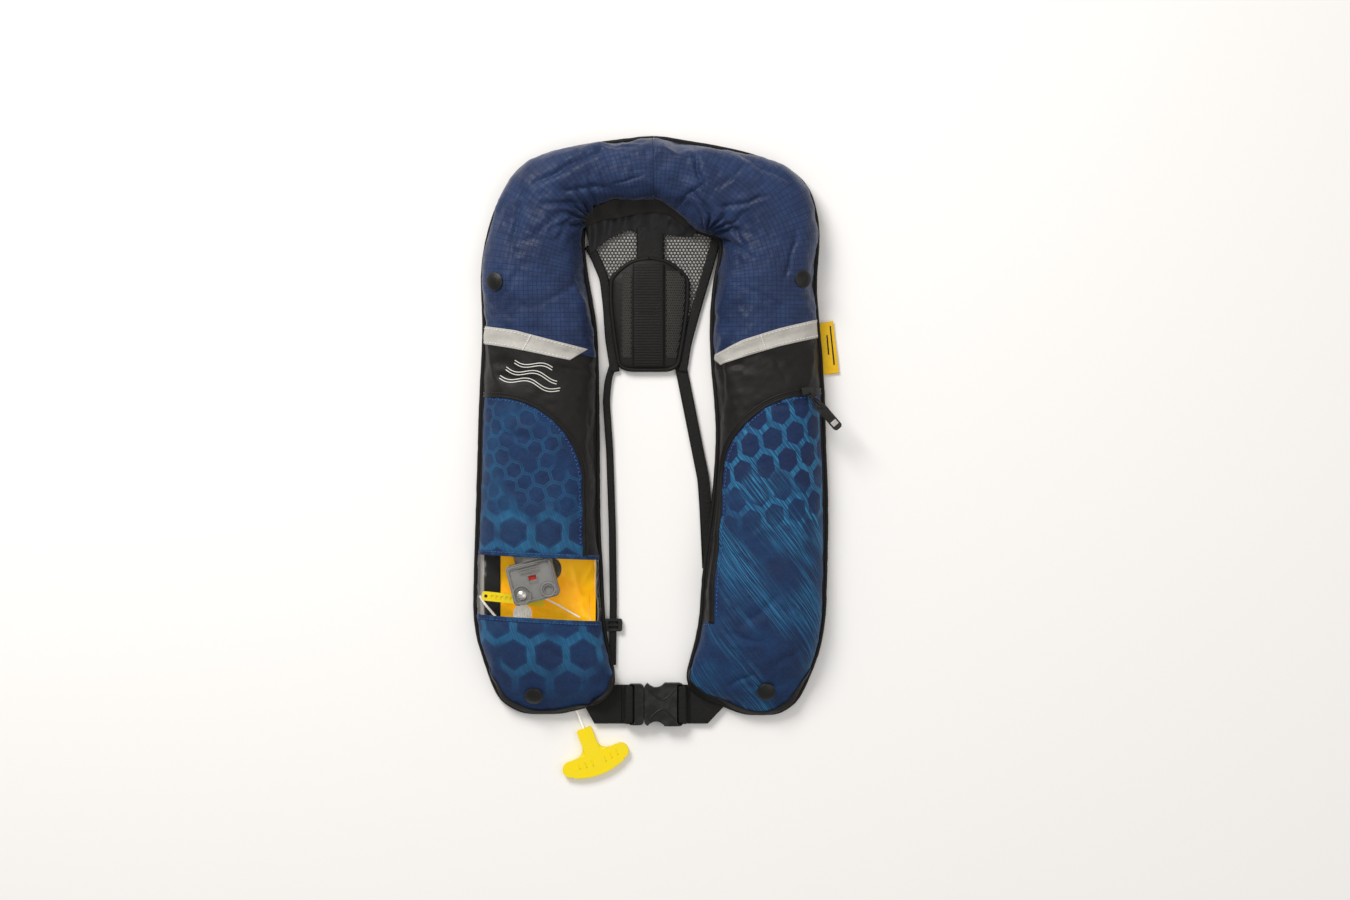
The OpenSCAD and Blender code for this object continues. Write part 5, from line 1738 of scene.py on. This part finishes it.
def puller_details():
    """Cord loop between the slider and the rubber tab, and the tab's pale end with moulded ridges."""
    lo, hi = low("zip_puller"), high("zip_puller")
    tree = cad_tree("zip_puller")
    start, end = np.array([lo[0] + 3, hi[1] - 3]), np.array([hi[0] - 5.5, lo[1] + 5.5])
    run = (end - start) / np.linalg.norm(end - start)
    across = np.array([-run[1], run[0]])
    heights = [(share, height_at(tree, *(start + (end - start) * share))) for share in np.linspace(0, 1, 30)]
    known = np.array([pair for pair in heights if pair[1] is not None])

    def top_at(share):
        return np.interp(share, known[:, 0], known[:, 1])

    def bars(shares, half, radius, flat):
        """Short bars across the tab."""
        made = []
        for share in shares:
            c = start + (end - start) * share
            line = np.array([[*(c + across * w), top_at(share) + 0.05] for w in (-half, 0, half)])
            made.append(tube("t", resampled(line, 0.8), radius, 8, flat))
        return made
    loops = []
    for side in (-1, 1):
        shares = np.linspace(0.02, 0.42, 12)
        bow = 2.6 * np.sin(np.pi * shares / 0.45) * side
        plan = start + (end - start) * shares[:, None] + across * bow[:, None]
        loops.append(tube("t", smoothed(raised(plan, top_at(shares) + 0.7), 2), 1.0, 8))
    dress(joined("puller_cord_loop", loops), "black_thread", "puller")
    ridges = bars((0.55, 0.62, 0.69, 0.76), 3.2, 0.55, 1.0)
    dress(joined("puller_ridges", ridges), "black_rubber", "puller")
    tip = bars((0.90, 0.945, 0.99), 3.0, 1.0, 0.4)
    dress(joined("puller_pale_end", tip), "lining_white", "puller")


inflator_details()
puller_details()
NODE_LOOKS = {            # the CAD nodes that stay showing
    "black_plastic": ["snap_cap_upper_left", "snap_cap_upper_right", "snap_cap_lower_left",
                      "snap_cap_lower_right", "buckle_socket", "buckle_plug", "buckle_arm_upper",
                      "buckle_arm_lower", "strap_adjuster", "zip_slider"],
    "black_rubber": ["zip_puller", "cylinder_gasket", "oral_tube"],
    "steel": ["snap_studs_upper", "snap_studs_lower", "firing_pin", "firing_spring", "pivot_pin"],
    "grey_plastic": ["inflator_body", "oral_valve"],
    "dark_plastic": ["manifold"],
    "yellow_plastic": ["pull_handle", "whistle", "firing_lever", "dust_cap"],
    "red_plastic": ["indicator_flag"],
    "cylinder_paint": ["gas_cylinder"],
    # the pull cord gets the pale cord's painted glow as well
    "pale_cord": ["pull_cord"]}
for look, nodes in NODE_LOOKS.items():
    for node in nodes:
        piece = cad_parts[node]
        for place in piece.material_slots:
            place.material = LOOKS[look].material
        if not piece.material_slots:
            piece.data.materials.append(LOOKS[look].material)


# ==== stage ====
# softboxes as (place, size, power, tint)
SOFTBOXES = [((-0.9, 1.1, 1.5), 0.9, 38, (1, 0.985, 0.96)), ((1.1, -0.6, 1.9), 1.6, 8, (1, 0.97, 0.94))]
JACKET_MIDDLE = Vector((0.0, -0.26, 0))


def stage():
    """Pale floor, soft room light with two softboxes, and the camera above."""
    floor_mesh = bpy.data.meshes.new("floor")
    r = 6.0
    floor_mesh.from_pydata([(-r, -r, 0), (r, -r, 0), (r, r, 0), (-r, r, 0)], [], [(0, 1, 2, 3)])
    floor = bpy.data.objects.new("floor", floor_mesh)
    scene.collection.objects.link(floor)
    sh = Shade("floor")
    sh.set("Base Color", (0.93, 0.92, 0.91))
    sh.set("Roughness", 0.9)
    sh.set("Specular IOR Level", 0.1)
    floor.data.materials.append(sh.material)
    floor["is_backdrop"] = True
    world = bpy.data.worlds.new("soft_room")
    world.use_nodes = True
    sky = world.node_tree.nodes["Background"]
    sky.inputs[0].default_value = (1.0, 0.985, 0.965, 1)
    sky.inputs[1].default_value = 0.50
    scene.world = world
    for place, size, power, tint in SOFTBOXES:
        data = bpy.data.lights.new("softbox", "AREA")
        data.size, data.energy, data.color = size, power, tint
        lamp = bpy.data.objects.new("softbox", data)
        lamp.location = place
        lamp.rotation_euler = (JACKET_MIDDLE - Vector(place)).to_track_quat("-Z", "Y").to_euler()
        scene.collection.objects.link(lamp)
    scene.view_settings.view_transform = "Standard"
    camera_data = bpy.data.cameras.new("camera")
    distance, frame_width, sensor = 3.2, 1.2825, 36.0
    camera_data.sensor_width = sensor
    camera_data.lens = sensor * distance / frame_width
    camera = bpy.data.objects.new("camera", camera_data)
    camera.location = (0.02, -0.266, distance)
    scene.collection.objects.link(camera)
    scene.camera = camera


stage()
({"cad": [list(map(float, c)) for c in cad_box],
           "visual": [list(map(float, c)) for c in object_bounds()]})
